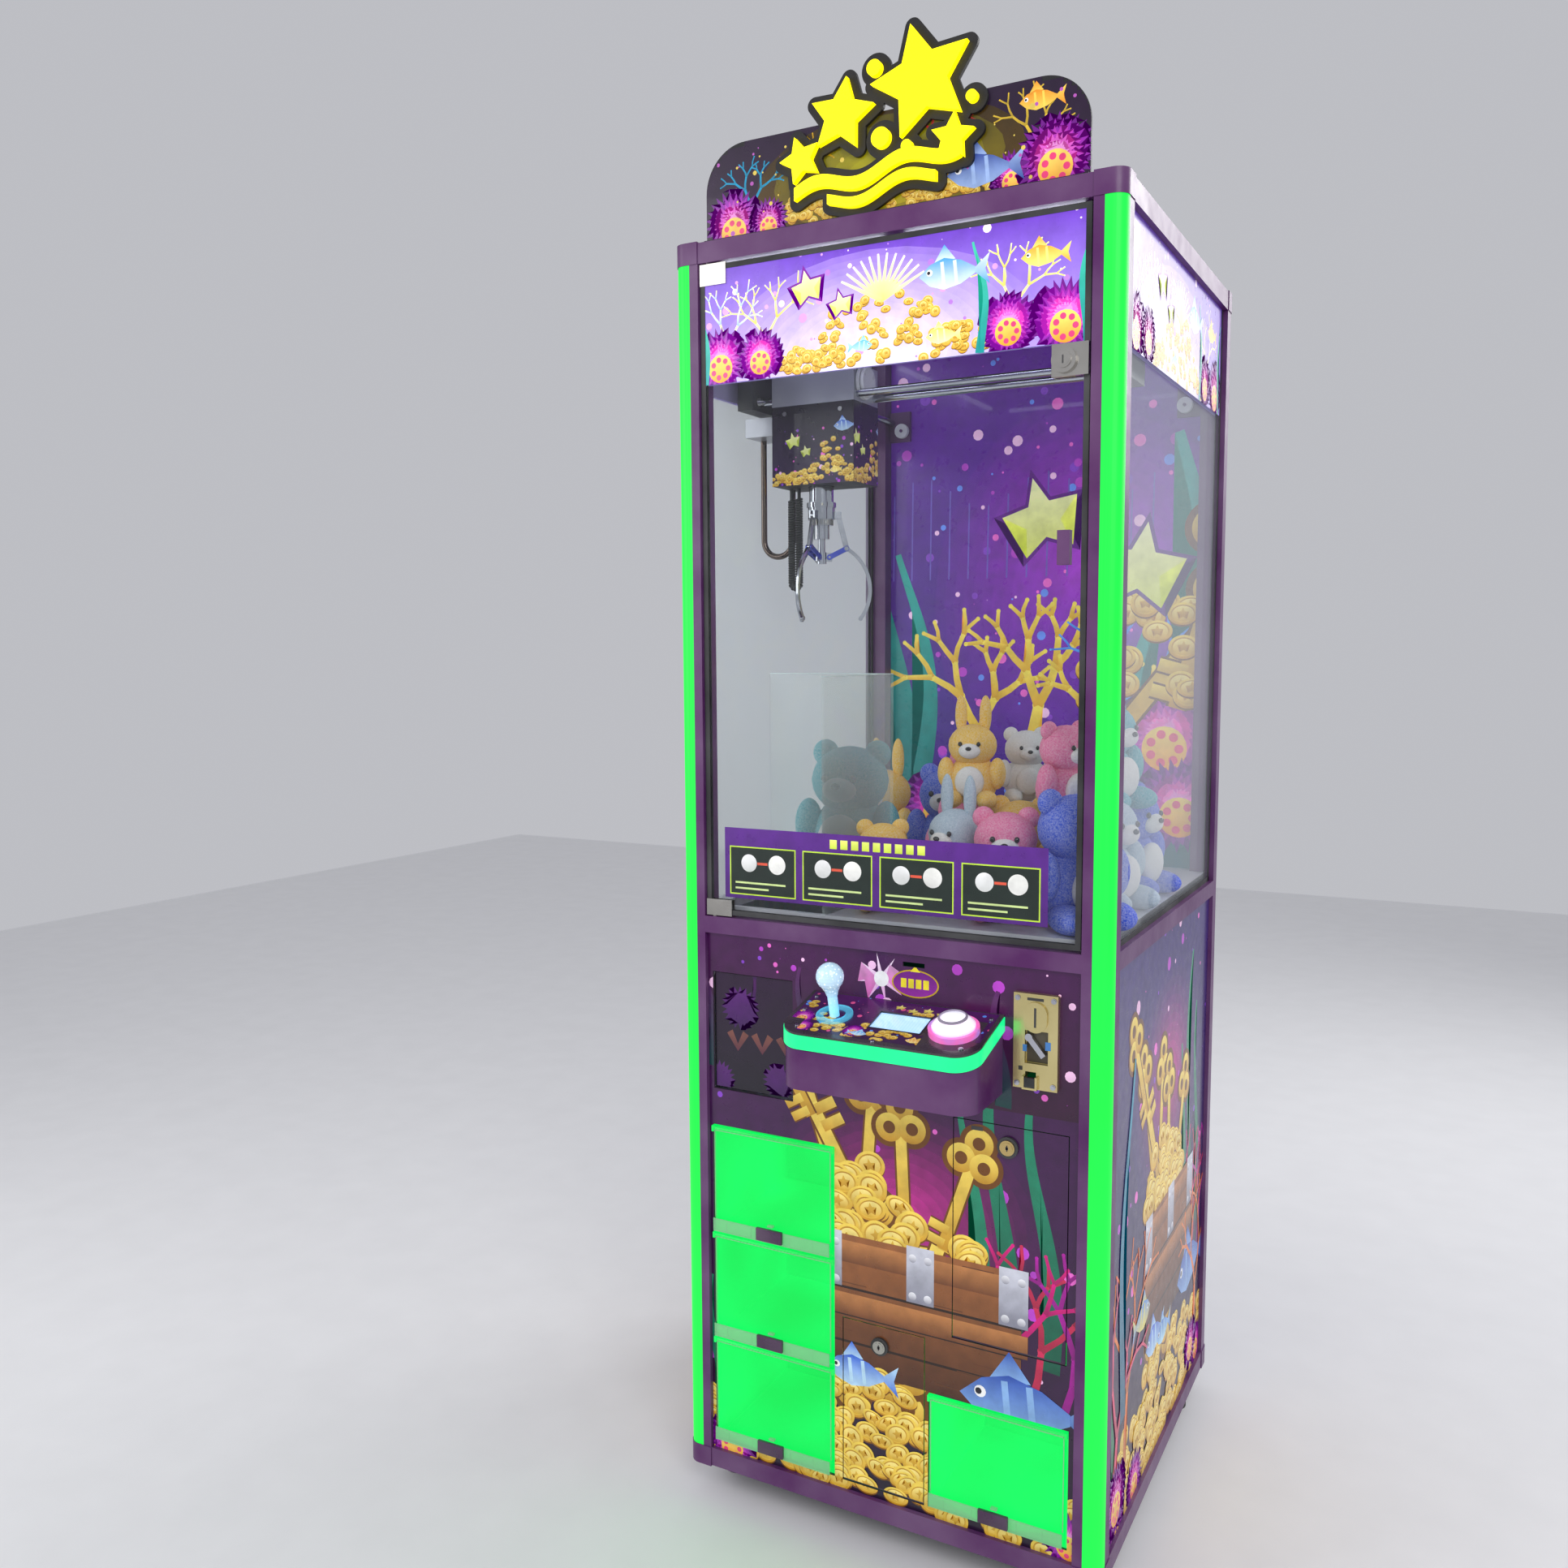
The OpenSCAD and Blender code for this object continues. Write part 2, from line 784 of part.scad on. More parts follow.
module idler_pulley(s) {
    color([0.95, 0.95, 0.95]) difference() {
        union() {
            cyl_y(14, s * pulley_x, [pulley_d, pulley_d + 2.5], pulley_z);
            cyl_y(11, s * pulley_x, [pulley_d + 2.5, pulley_d + 5.5], pulley_z);
            cyl_y(14, s * pulley_x, [pulley_d + 5.5, pulley_d + 8], pulley_z);
        }
        cyl_y(3.05, s * pulley_x, [pulley_d - 1, pulley_d + 9], pulley_z);
    }
}
module idler_pulley_left() idler_pulley(-1);
module idler_pulley_right() idler_pulley(1);

module bridge_carriages() {
    color(dark) both_sides() difference() {
        block([rail_x - carriage_w / 2, rail_x + carriage_w / 2],
              [carriage_front, carriage_front + carriage_len], [rod_z - 15, rail_z + 20]);
        cyl_y(rail_d / 2 + pin_free, rail_x, [carriage_front - 1, carriage_front + carriage_len + 1],
              rail_z);
    }
}

module bridge_rods() {
    end = rail_x - carriage_w / 2;
    color(steel) for (d = [rod_front, rod_back]) cyl_x(rod_d / 2, [-end, end], d, rod_z);
}

module trolley_body() {
    x = [crane_x, crane_x + crane_w];
    d = [crane_front, crane_front + crane_d];
    color(steel) {
        difference() {
            block(x, d, [crane_top, cover_top]);
            block([x[0] + wall, x[1] - wall], [d[0] + wall, d[1] - wall],
                  [crane_top - 1, cover_top - wall]);
            for (r = [rod_front, rod_back]) cyl_x(rod_d / 2 + pin_free, [x[0] - 1, x[1] + 1], r, rod_z);
        }
        // Side bracket that carries the bent tube
        block([x[0] - 60, x[0]], [165, 235], [1762, 1765]);
        block([x[0] - 60, x[0] - 57], [165, 235], [1765, 1792]);
        block([x[0] - 57, x[0]], [165, 168], [1765, 1792]);
    }
}

module crane_box() {
    x = [crane_x, crane_x + crane_w];
    d = [crane_front, crane_front + crane_d];
    color(dark) difference() {
        block(x, d, [crane_low, crane_top]);
        block([x[0] + wall, x[1] - wall], [d[0] + wall, d[1] - wall],
              [crane_low + 8, crane_top + 1]);
        translate([claw_x, fy(claw_d), crane_low - 1]) cylinder(r = claw_free, h = 12);
    }
    color(steel) cyl_x(3, [x[0] + wall, x[1] - wall], claw_d + drum_back, drum_z);
}

module winch_drum() {
    d = claw_d + drum_back;
    color(steel) difference() {
        union() {
            cyl_x(drum_r, [claw_x - 14, claw_x + 14], d, drum_z);
            for (s = [-1, 1]) cyl_x(21, [claw_x + s * 16 - 2, claw_x + s * 16 + 2], d, drum_z);
        }
        cyl_x(3.05, [claw_x - 30, claw_x + 30], d, drum_z);
    }
}

module claw_cord() {
    color(dark) translate([claw_x, fy(claw_d), 1696]) cylinder(r = 1.5, h = drum_z - 1696);
}

// A bend of a round bar in the XZ plane, below the level z
module u_bend(r, bend, x, d, z) {
    translate([x, fy(d), z]) rotate([90, 0, 0]) rotate([0, 0, 180])
        rotate_extrude(angle = 180) translate([bend, 0]) circle(r);
}

module bent_tube() {
    left = -311;
    right = -256;
    bend_z = 1596;
    color([0.45, 0.38, 0.33]) {
        translate([left, fy(210), bend_z]) cylinder(r = 5, h = 1762 - bend_z);
        translate([right, fy(210), bend_z]) cylinder(r = 5, h = crane_low - bend_z);
        u_bend(5, (right - left) / 2, (left + right) / 2, 210, bend_z);
    }
}

module coiled_cord() {
    xs = [-250, -236];
    color(dark) {
        for (x = xs) translate([x, fy(195), 1522]) cylinder(r = 6.5, h = crane_low - 1522);
        u_bend(6.5, 7, -243, 195, 1522);
    }
}

// ---------------------------------------------------------------- claw

module on_claw(i) {
    translate([claw_x, fy(claw_d), 0]) rotate([0, 0, arm_dirs[i]]) children();
}

// A flat bar between two points of an arm's plane, with round ends a little wider than the bar
module flat_link(a, b, r, t0, t1) {
    len = norm(b - a);
    turn = atan2(b[1] - a[1], b[0] - a[0]);
    translate([0, t1, 0]) rotate([90, 0, 0]) linear_extrude(t1 - t0) {
        translate(a) circle(r);
        translate(b) circle(r);
        translate(a) rotate(turn) translate([0, 0.5 - r]) square([len, 2 * r - 1]);
    }
}

module cross_pin(p, r, t) {
    translate([p[0], t, p[1]]) rotate([90, 0, 0]) cylinder(r = r, h = 2 * t);
}

module claw_housing() {
    // [radius, low, high] of each turned step, from the top down
    steps = [[4, 1690, 1696], [20, 1651, 1690], [24, 1643, 1651], [22, 1624, 1643],
             [18.7, 1614, 1624], [13, 1592, 1614]];
    color(steel) {
        difference() {
            translate([claw_x, fy(claw_d), 0])
                for (q = steps) translate([0, 0, q[1]]) cylinder(r = q[0], h = q[2] - q[1]);
            translate([claw_x, fy(claw_d), 1580]) cylinder(r = 6.1, h = 70);
        }
        for (i = [0 : 2]) on_claw(i) {
            for (s = [-1, 1]) difference() {
                translate([14, s * 3.9 - 1.4, 1625]) cube([19, 2.8, 12]);
                cross_pin(arm_pivot, pin_r, 8);
            }
            cross_pin(arm_pivot, pin_r, 5.3);
        }
    }
}

module claw_plunger() {
    color(steel) {
        translate([claw_x, fy(claw_d), 0]) {
            translate([0, 0, 1552]) cylinder(r = 6, h = 88);
            translate([0, 0, 1552]) cylinder(r = 8, h = 19);
        }
        for (i = [0 : 2]) on_claw(i) {
            translate([4, -1.5, 1556]) cube([13.5, 3, 14]);
            cross_pin(hub_pivot, 1.8, 5.6);
        }
    }
}

// The prong: a curved flat bar with a round tip, as deep across as 2 r
module prong(r, t) {
    tip = prong_centre + prong_r * [cos(prong_to), sin(prong_to)];
    translate([prong_centre[0], 0, prong_centre[1]]) rotate([90, 0, 0]) rotate([0, 0, prong_to])
        rotate_extrude(angle = prong_from - prong_to + 1.1)
            translate([prong_r - r, -t / 2]) square([2 * r, t]);
    cross_pin(tip, r + 0.8, arm_t / 2);
}

module claw_arm(i) {
    color([0.75, 0.78, 0.85]) on_claw(i) difference() {
        union() {
            flat_link(arm_pivot, elbow, 5, -arm_t / 2, arm_t / 2);
            cross_pin(elbow, 2, 5.6);
            prong(prong_rod, arm_t - 0.8);
        }
        cross_pin(arm_pivot, pin_r + pin_free, 6);
    }
}
module claw_arm_a() claw_arm(0);
module claw_arm_b() claw_arm(1);
module claw_arm_c() claw_arm(2);

module claw_link(i) {
    middle = (hub_pivot + elbow) / 2;
    color([0.35, 0.42, 0.85]) on_claw(i) {
        for (s = [-1, 1]) difference() {
            flat_link(hub_pivot, elbow, 4.5, s * link_gap - link_t / 2, s * link_gap + link_t / 2);
            cross_pin(hub_pivot, 1.9, 6);
            cross_pin(elbow, 3.7, 6);
        }
        cross_pin(middle, 2, 3.4);
    }
}
module claw_link_a() claw_link(0);
module claw_link_b() claw_link(1);
module claw_link_c() claw_link(2);

// ---------------------------------------------------------------- assembly

corner_posts();
frame_rails();
corner_caps();
led_corner_strips();
cover_plates();
play_deck();
rear_wall();
side_panels();
side_glasses();
front_panel();
chute_walls();
chute_duct();
console_box();
console_deck();
console_led_band();
joystick_base();
button_ring();
screen_module();
coin_acceptor();
prize_boxes();
sign_board();
sign_emblem();
levelling_feet();
depth_rails();
rail_brackets();
power_unit();
control_board();
cash_box();
dome_screws();
bridge_carriages();
bridge_rods();
trolley_body();
crane_box();
winch_drum();
bent_tube();
coiled_cord();
claw_cord();
claw_housing();
claw_plunger();
claw_arm_a();
claw_arm_b();
claw_arm_c();
claw_link_a();
claw_link_b();
claw_link_c();
idler_pulley_left();
idler_pulley_right();
glass_door();
glass_door_fittings();
prize_door_top();
prize_door_middle();
prize_door_bottom();
prize_door_right();
prize_flap();
service_door();
small_door();
joystick_gimbal();
joystick_stick();
button_dome();
reject_lever();
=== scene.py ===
"""Looks of a claw crane prize machine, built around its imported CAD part, in metres."""
import math
import random
import bmesh
import bpy
from mathutils import Matrix, Vector


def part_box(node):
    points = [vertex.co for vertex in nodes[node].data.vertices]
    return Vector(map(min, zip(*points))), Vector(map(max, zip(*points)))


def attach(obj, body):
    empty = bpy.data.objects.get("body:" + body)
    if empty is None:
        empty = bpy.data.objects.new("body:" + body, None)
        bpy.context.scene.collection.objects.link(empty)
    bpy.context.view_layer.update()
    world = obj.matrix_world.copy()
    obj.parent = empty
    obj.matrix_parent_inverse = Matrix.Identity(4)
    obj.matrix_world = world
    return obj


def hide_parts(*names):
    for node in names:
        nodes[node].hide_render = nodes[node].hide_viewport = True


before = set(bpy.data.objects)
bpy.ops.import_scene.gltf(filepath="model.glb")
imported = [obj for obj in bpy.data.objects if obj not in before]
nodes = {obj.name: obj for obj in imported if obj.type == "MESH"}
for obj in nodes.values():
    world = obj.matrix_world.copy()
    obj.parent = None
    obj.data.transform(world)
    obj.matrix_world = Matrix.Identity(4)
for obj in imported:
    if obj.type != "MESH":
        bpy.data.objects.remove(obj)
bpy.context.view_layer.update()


# Frame: welded square steel tube, painted a deep satin purple, with pressed caps over its eight
# corners. The paint has a fine orange peel.
class Num:
    """A shader socket that can be used in sums like a number."""

    def __init__(self, owner, out):
        self.owner, self.out = owner, out

    def __add__(self, other):
        return self.owner.sum("ADD", self, other)

    def __sub__(self, other):
        return self.owner.sum("SUBTRACT", self, other)

    def __rsub__(self, other):
        return self.owner.sum("SUBTRACT", other, self)

    def __mul__(self, other):
        return self.owner.sum("MULTIPLY", self, other)

    def __radd__(self, other):
        return self.owner.sum("ADD", other, self)

    def __rmul__(self, other):
        return self.owner.sum("MULTIPLY", other, self)


class Shader:
    """A Principled material whose nodes are made by one method."""

    def __init__(self, name, colour=(0.8, 0.8, 0.8), rough=0.5, metal=0.0, coat=0.0, alpha=1.0):
        self.material = bpy.data.materials.new(name)
        self.material.use_nodes = True
        self.tree = self.material.node_tree
        self.base = self.tree.nodes["Principled BSDF"]
        self.set(Base_Color=(*colour, 1.0), Roughness=rough, Metallic=metal,
                 Coat_Weight=coat, Alpha=alpha)

    def set(self, **values):
        for key, value in values.items():
            self.put(self.base.inputs[key.replace("_", " ")], value)
        return self

    def put(self, socket, value):
        if isinstance(value, Num):
            self.tree.links.new(value.out, socket)
        else:
            socket.default_value = value

    def node(self, kind, inputs=None, out=0, **settings):
        made = self.tree.nodes.new("ShaderNode" + kind)
        for key, value in settings.items():
            setattr(made, key, value)
        for key, value in (inputs or {}).items():
            self.put(made.inputs[key], value)
        return Num(self, made.outputs[out])

    def sum(self, operation, a, b):
        return self.node("Math", {0: a, 1: b}, operation=operation)

    def place(self):
        return self.node("TexCoord", out="Object")

    def axis(self, name):
        return self.node("SeparateXYZ", {0: self.place()}, out=name)

    def noise(self, scale, detail=4.0, stretch=(1, 1, 1)):
        at = self.node("Mapping", {"Vector": self.place(), "Scale": stretch})
        return self.node("TexNoise", {"Vector": at, "Scale": scale, "Detail": detail})

    def mix(self, a, b, share):
        return self.node("Mix", {0: share, 6: a, 7: b}, out=2, data_type="RGBA")

    def spread(self, value, low, high):
        """value, from 0 to 1 between low and high."""
        return self.node("MapRange", {0: value, 1: low, 2: high})

    def bump(self, height, depth, strength=1.0):
        return self.set(Normal=self.node("Bump", {"Height": height, "Distance": depth,
                                                  "Strength": strength}))

    def glow(self, colour, strength):
        return self.set(Emission_Color=colour, Emission_Strength=strength)


def worn(name, colour, rough=0.4, metal=0.0, coat=0.0, grain=220, depth=0.0002, fade=0.18):
    """A plain finish with mottled colour, uneven gloss and a fine grain."""
    made = Shader(name, colour, rough, metal, coat)
    cloud = made.noise(9)
    light = tuple(c + (1 - c) * fade * 0.35 for c in colour)
    dark = tuple(c * (1 - fade) for c in colour)
    made.set(Base_Color=made.mix((*dark, 1), (*light, 1), made.spread(cloud, 0.3, 0.7)),
             Roughness=rough + (made.noise(31) - 0.5) * 0.25)
    return made.bump(made.noise(grain, 2), depth, 0.35)


def dress(shader, *names):
    """Gives CAD nodes a material."""
    for name in names:
        mesh = nodes[name].data
        mesh.materials.clear()
        mesh.materials.append(shader.material)


purple_paint = worn("purple_paint", (0.10, 0.004, 0.125), 0.42, coat=0.08)
dress(purple_paint, "corner_posts", "frame_rails", "corner_caps", "rail_brackets")


def mesh_piece(name, bm, shader, body="root", smooth=True, bevel=0.0):
    """Makes a finished piece from bm and rides it on a body."""
    bmesh.ops.recalc_face_normals(bm, faces=bm.faces)
    if bevel:
        bmesh.ops.bevel(bm, geom=list(bm.edges), offset=bevel, segments=2, profile=0.5,
                        affect="EDGES", clamp_overlap=True, material=-1)
    mesh = bpy.data.meshes.new(name)
    bm.to_mesh(mesh)
    bm.free()
    shaders = shader if isinstance(shader, (list, tuple)) else [shader]
    for each in shaders:
        mesh.materials.append(each.material)
    for face in mesh.polygons:
        face.use_smooth = smooth
    if smooth:
        mesh.set_sharp_from_angle(angle=math.radians(38))
    piece = bpy.data.objects.new(name, mesh)
    bpy.context.scene.collection.objects.link(piece)
    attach(piece, body)
    return piece


def add_box(bm, low, high, slot=0):
    low, high = Vector(low), Vector(high)
    made = bmesh.ops.create_cube(bm, size=1)["verts"]
    bmesh.ops.scale(bm, vec=high - low, verts=made)
    bmesh.ops.translate(bm, vec=(low + high) / 2, verts=made)
    for face in {f for v in made for f in v.link_faces}:
        face.material_index = slot
    return made


def add_rod(bm, at, radius, length, axis="Y", top=None, sides=32, slot=0):
    """A cylinder or cone that starts at a point and runs along an axis."""
    made = bmesh.ops.create_cone(bm, cap_ends=True, segments=sides, radius1=radius,
                                 radius2=radius if top is None else top, depth=length)["verts"]
    turn = {"X": Matrix.Rotation(math.pi / 2, 4, "Y"), "Y": Matrix.Rotation(-math.pi / 2, 4, "X"),
            "Z": Matrix.Identity(4)}[axis] if isinstance(axis, str) else axis
    bmesh.ops.transform(bm, matrix=Matrix.Translation(Vector(at)) @ turn
                        @ Matrix.Translation((0, 0, length / 2)), verts=made)
    for face in {f for v in made for f in v.link_faces}:
        face.material_index = slot
    return made


posts_low, posts_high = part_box("corner_posts")
front, back = posts_low.y, posts_high.y
half = posts_high.x
inner = half - 0.043
deck_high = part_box("play_deck")[1]
glass_low, glass_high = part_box("glass_door")
rails_low, rails_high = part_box("frame_rails")

bolt_steel = worn("bolt_steel", (0.42, 0.42, 0.45), 0.3, 1.0)
bm = bmesh.new()
for sx in (-1, 1):
    for z in (rails_low.z + 0.012, rails_high.z - 0.016):
        for y in (front + 0.09, back - 0.09):
            add_rod(bm, (sx * half - (0.002 if sx > 0 else -0.0005), y, z), 0.006, 0.0015, "X")
        add_rod(bm, (sx * (half - 0.06), back - 0.0005, z), 0.006, 0.0015, "Y")
mesh_piece("frame_bolts", bm, bolt_steel)

# Corner lights: extruded green diffusers down both front corners, and the console's green band.
# All are lit evenly from inside.
led_green = Shader("led_green", (0.0, 0.1, 0.005), 0.5)
led_green.set(Emission_Color=led_green.mix((0.0, 1.0, 0.045, 1), (0.0, 1.0, 0.1, 1),
                                           led_green.noise(5, 2)), Emission_Strength=0.95)
led_green.bump(led_green.node("TexWave", {"Vector": led_green.place(), "Scale": 60.0},
                              bands_direction="X"), 0.0003, 0.3)
dress(led_green, "led_corner_strips")
band_green = Shader("band_green", (0.0, 0.4, 0.1), 0.3, coat=0.1)
band_green.set(Emission_Color=band_green.mix((0.0, 0.95, 0.22, 1), (0.01, 1.0, 0.4, 1),
                                             band_green.noise(16, 2)), Emission_Strength=0.85)
dress(band_green, "console_led_band")

# Feet and plates: moulded black levelling feet on screwed studs, and black painted steel plates
# in the floor and the roof.
black_paint = worn("black_paint", (0.012, 0.011, 0.014), 0.45)
black_rubber = worn("black_rubber", (0.014, 0.014, 0.015), 0.7, grain=500)
dress(black_paint, "cover_plates", "bridge_carriages")
dress(black_rubber, "levelling_feet")


# Printed films: the panels carry glossy printed film. Each ink is a flat shape a hair above the
# one before. The pictures are of the sea bed: coins, keys, a chest, coral, weed and fish.
class Print:
    """Flat inks on a panel, clipped to the panel's tiles."""

    def __init__(self, lift=0.000004):
        self.shapes, self.extents, self.lift = [], [], lift

    def ink(self, outline, low, high=None):
        """A filled outline, shaded from one colour at its foot to another at its top.
        It lies just above every earlier outline it overlaps."""
        us, vs = [p[0] for p in outline], [p[1] for p in outline]
        u0, u1, v0, v1 = min(us), max(us), min(vs), max(vs)
        layer = 1 + max((e[4] for e in self.extents
                         if e[0] < u1 and e[1] > u0 and e[2] < v1 and e[3] > v0), default=0)
        self.extents.append((u0, u1, v0, v1, layer))
        self.shapes.append((outline, low, high or low))

    def block(self, u, v, low, high=None):
        self.ink([(u[0], v[0]), (u[1], v[0]), (u[1], v[1]), (u[0], v[1])], low, high)

    def disc(self, u, v, r, low, high=None, squash=1.0, turn=0.0, n=28):
        c, s = math.cos(turn), math.sin(turn)
        ring = [(r * math.cos(2 * math.pi * i / n), r * squash * math.sin(2 * math.pi * i / n))
                for i in range(n)]
        self.ink([(u + a * c - b * s, v + a * s + b * c) for a, b in ring], low, high)

    def star(self, u, v, r, low, high=None, points=5, waist=0.45, turn=0.0):
        ring = []
        for i in range(2 * points):
            q = r if i % 2 == 0 else r * waist
            a = math.pi / 2 + turn + math.pi * i / points
            ring.append((u + q * math.cos(a), v + q * math.sin(a)))
        self.ink(ring, low, high)

    def stroke(self, path, width, low, high=None, tip=None):
        """A tapering brush stroke along a path."""
        tip = width if tip is None else tip
        left, right = [], []
        last = len(path) - 1
        for i, (u, v) in enumerate(path):
            a, b = path[max(i - 1, 0)], path[min(i + 1, last)]
            du, dv = b[0] - a[0], b[1] - a[1]
            size = math.hypot(du, dv) or 1
            w = (width + (tip - width) * i / last) / 2
            left.append((u - dv / size * w, v + du / size * w))
            right.append((u + dv / size * w, v - du / size * w))
        self.ink(left + right[::-1], low, high)

    def weed(self, u, v, height, sway, width, low, high):
        steps = 26
        path = [(u + sway * math.sin(4.6 * i / steps + u * 40) * (0.3 + i / steps),
                 v + height * i / steps) for i in range(steps + 1)]
        self.stroke(path, width, low, high, width * 0.25)

    def coral(self, u, v, length, width, angle, colours, rng, depth=4):
        end = (u + length * math.cos(angle), v + length * math.sin(angle))
        middle = ((u + end[0]) / 2 + rng.uniform(-0.08, 0.08) * length, (v + end[1]) / 2)
        self.stroke([(u, v), middle, end], width, colours[0], colours[1], width * 0.8)
        self.disc(*end, width * 0.5, colours[1], n=12)
        if depth:
            for side in (-1, 1):
                self.coral(*end, length * rng.uniform(0.62, 0.85), width * 0.78,
                           angle + side * rng.uniform(0.3, 0.62), colours, rng, depth - 1)

    def fluff(self, u, v, r, rng):
        """A sea anemone: a ball of fine petals round a pale heart."""
        for ring in range(5):
            q = r * (1 - ring * 0.16)
            tone = [(0.16, 0.0, 0.25), (0.32, 0.01, 0.42), (0.5, 0.03, 0.5), (0.75, 0.1, 0.6),
                    (0.9, 0.3, 0.75)][ring]
            self.star(u, v, q, tone, points=26, waist=0.72, turn=rng.random())
        self.disc(u, v - r * 0.25, r * 0.42, (0.9, 0.35, 0.02), (1.0, 0.75, 0.15), n=20)
        for i in range(7):
            a = 2 * math.pi * i / 7
            self.disc(u + r * 0.27 * math.cos(a), v - r * 0.25 + r * 0.27 * math.sin(a), r * 0.085,
                      (0.85, 0.05, 0.2), n=12)

    def coin(self, u, v, r, squash=0.8, turn=0.0):
        self.disc(u, v - r * 0.12, r, (0.2, 0.07, 0.0), squash=squash, turn=turn)
        self.disc(u, v, r, (0.62, 0.3, 0.01), (0.95, 0.7, 0.1), squash=squash, turn=turn)
        self.disc(u, v, r * 0.8, (0.8, 0.5, 0.05), (0.5, 0.24, 0.01), squash=squash, turn=turn)
        self.disc(u, v, r * 0.7, (0.7, 0.4, 0.02), (1.0, 0.82, 0.25), squash=squash, turn=turn)
        self.star(u, v, r * 0.42, (0.5, 0.24, 0.01), (0.8, 0.5, 0.05), turn=turn)

    def key(self, u, v, length, turn, thick=0.022):
        gold, pale, dark = (0.55, 0.27, 0.01), (0.95, 0.72, 0.12), (0.16, 0.05, 0.0)
        du, dv = math.cos(turn), math.sin(turn)
        end = (u + du * length, v + dv * length)
        for grow, low, high in ((1.35, dark, dark), (1.0, gold, pale)):
            self.stroke([(u, v), end], thick * grow, low, high)
            for share in (0.06, 0.2):
                a = (u + du * length * share, v + dv * length * share)
                b = (a[0] - dv * thick * 1.8, a[1] + du * thick * 1.8)
                self.stroke([a, b], thick * grow * 0.8, low, high)
            for a in (0, 2.1, 4.2):
                self.disc(end[0] + thick * 1.2 * math.cos(a + turn),
                          end[1] + thick * 1.2 * math.sin(a + turn),
                          thick * 1.25 * grow, low, high)
        for a in (0, 2.1, 4.2):
            self.disc(end[0] + thick * 1.2 * math.cos(a + turn),
                      end[1] + thick * 1.2 * math.sin(a + turn), thick * 0.55, dark)

    def fish(self, u, v, size, body, belly, face=1):
        tail = [(-0.9, 0), (-1.5, 0.5), (-1.35, 0), (-1.5, -0.5)]
        fin = [(-0.3, 0.45), (0.1, 0.95), (0.45, 0.4)]
        shape = [(1.0, 0.0), (0.6, 0.36), (0.1, 0.52), (-0.5, 0.38), (-1.0, 0.1), (-1.0, -0.1),
                 (-0.5, -0.38), (0.1, -0.5), (0.6, -0.34)]
        for outline, low, high in ((tail, body, belly), (fin, belly, body), (shape, belly, body)):
            self.ink([(u + face * a * size, v + b * size) for a, b in outline], low, high)
        for k in (-0.35, 0.1):
            self.stroke([(u + face * k * size, v - 0.38 * size),
                         (u + face * (k + 0.08) * size, v + 0.4 * size)], size * 0.12, belly)
        self.disc(u + face * 0.62 * size, v + 0.1 * size, size * 0.11, (0.95, 0.95, 0.95), n=12)
        self.disc(u + face * 0.65 * size, v + 0.1 * size, size * 0.06, (0.01, 0.01, 0.02), n=12)

    def glitter(self, u, v, count, size, tones, rng):
        for _ in range(count):
            self.disc(rng.uniform(*u), rng.uniform(*v), size * rng.uniform(0.2, 1) ** 2,
                      rng.choice(tones), n=10)

    def lay(self, name, tiles, origin, across, shader, body="root"):
        """Clips the inks to tiles (u low, u high, v low, v high) and makes the piece."""
        across, up = Vector(across), Vector((0, 0, 1))
        out = across.cross(up)
        made = bmesh.new()
        inks = made.loops.layers.float_color.new("ink")
        for u0, u1, v0, v1 in tiles:
            for (outline, low, high), (a0, a1, b0, b1, layer) in zip(self.shapes, self.extents):
                if a1 < u0 or a0 > u1 or b1 < v0 or b0 > v1:
                    continue
                kept = clip(outline, u0, u1, v0, v1)
                if len(kept) < 3:
                    continue
                tall = (b1 - b0) or 1
                corners = [made.verts.new(Vector(origin) + across * u + up * v
                                          + out * self.lift * layer) for u, v in kept]
                face = made.faces.new(corners)
                for loop, (u, v) in zip(face.loops, kept):
                    t = (v - b0) / tall
                    loop[inks] = (*[a + (b - a) * t for a, b in zip(low, high)], 1)
        bmesh.ops.triangulate(made, faces=made.faces)
        mesh = bpy.data.meshes.new(name)
        made.to_mesh(mesh)
        made.free()
        mesh.materials.append(shader.material)
        piece = bpy.data.objects.new(name, mesh)
        bpy.context.scene.collection.objects.link(piece)
        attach(piece, body)
        return piece


def clip(outline, u0, u1, v0, v1):
    """The part of an outline that lies in a rectangle, cut one edge at a time."""
    for axis, limit, side in ((0, u0, 1), (0, u1, -1), (1, v0, 1), (1, v1, -1)):
        kept = []
        for i, b in enumerate(outline):
            a = outline[i - 1]
            a_in, b_in = (a[axis] - limit) * side >= 0, (b[axis] - limit) * side >= 0
            if a_in != b_in:
                t = (limit - a[axis]) / (b[axis] - a[axis])
                kept.append((a[0] + (b[0] - a[0]) * t, a[1] + (b[1] - a[1]) * t))
            if b_in:
                kept.append(b)
        outline = kept
    return outline


def film(name, glow=0.0):
    """Printed film: takes its inks from the mesh, with a coat and a slight unevenness.
    With a glow the inks also glow: a lamp on backlit film, painted light on unlit print.
    """
    made = Shader(name, rough=0.3, coat=0.2)
    ink = made.node("Attribute", attribute_name="ink", out="Color")
    made.set(Base_Color=made.mix(ink, (0.0, 0.0, 0.0, 1), made.spread(made.noise(40), 0.35, 1.6)),
             Roughness=0.2 + made.noise(55) * 0.2)
    if glow:
        made.glow(ink, glow)
    return made.bump(made.noise(300, 2), 0.0001, 0.2)


# The front, door, flap and side prints are not lit from behind: their 0.16 glow is painted light.
printed = film("print_film_painted_glow", 0.16)
side_backlit = film("side_backlit_film", 0.16)
backlit = film("backlit_film", 0.55)
lit_wall = film("lit_wall_film", 0.22)
sparkle = [(0.9, 0.15, 0.65), (0.5, 0.05, 0.6), (1.0, 0.6, 0.9), (0.25, 0.05, 0.6)]


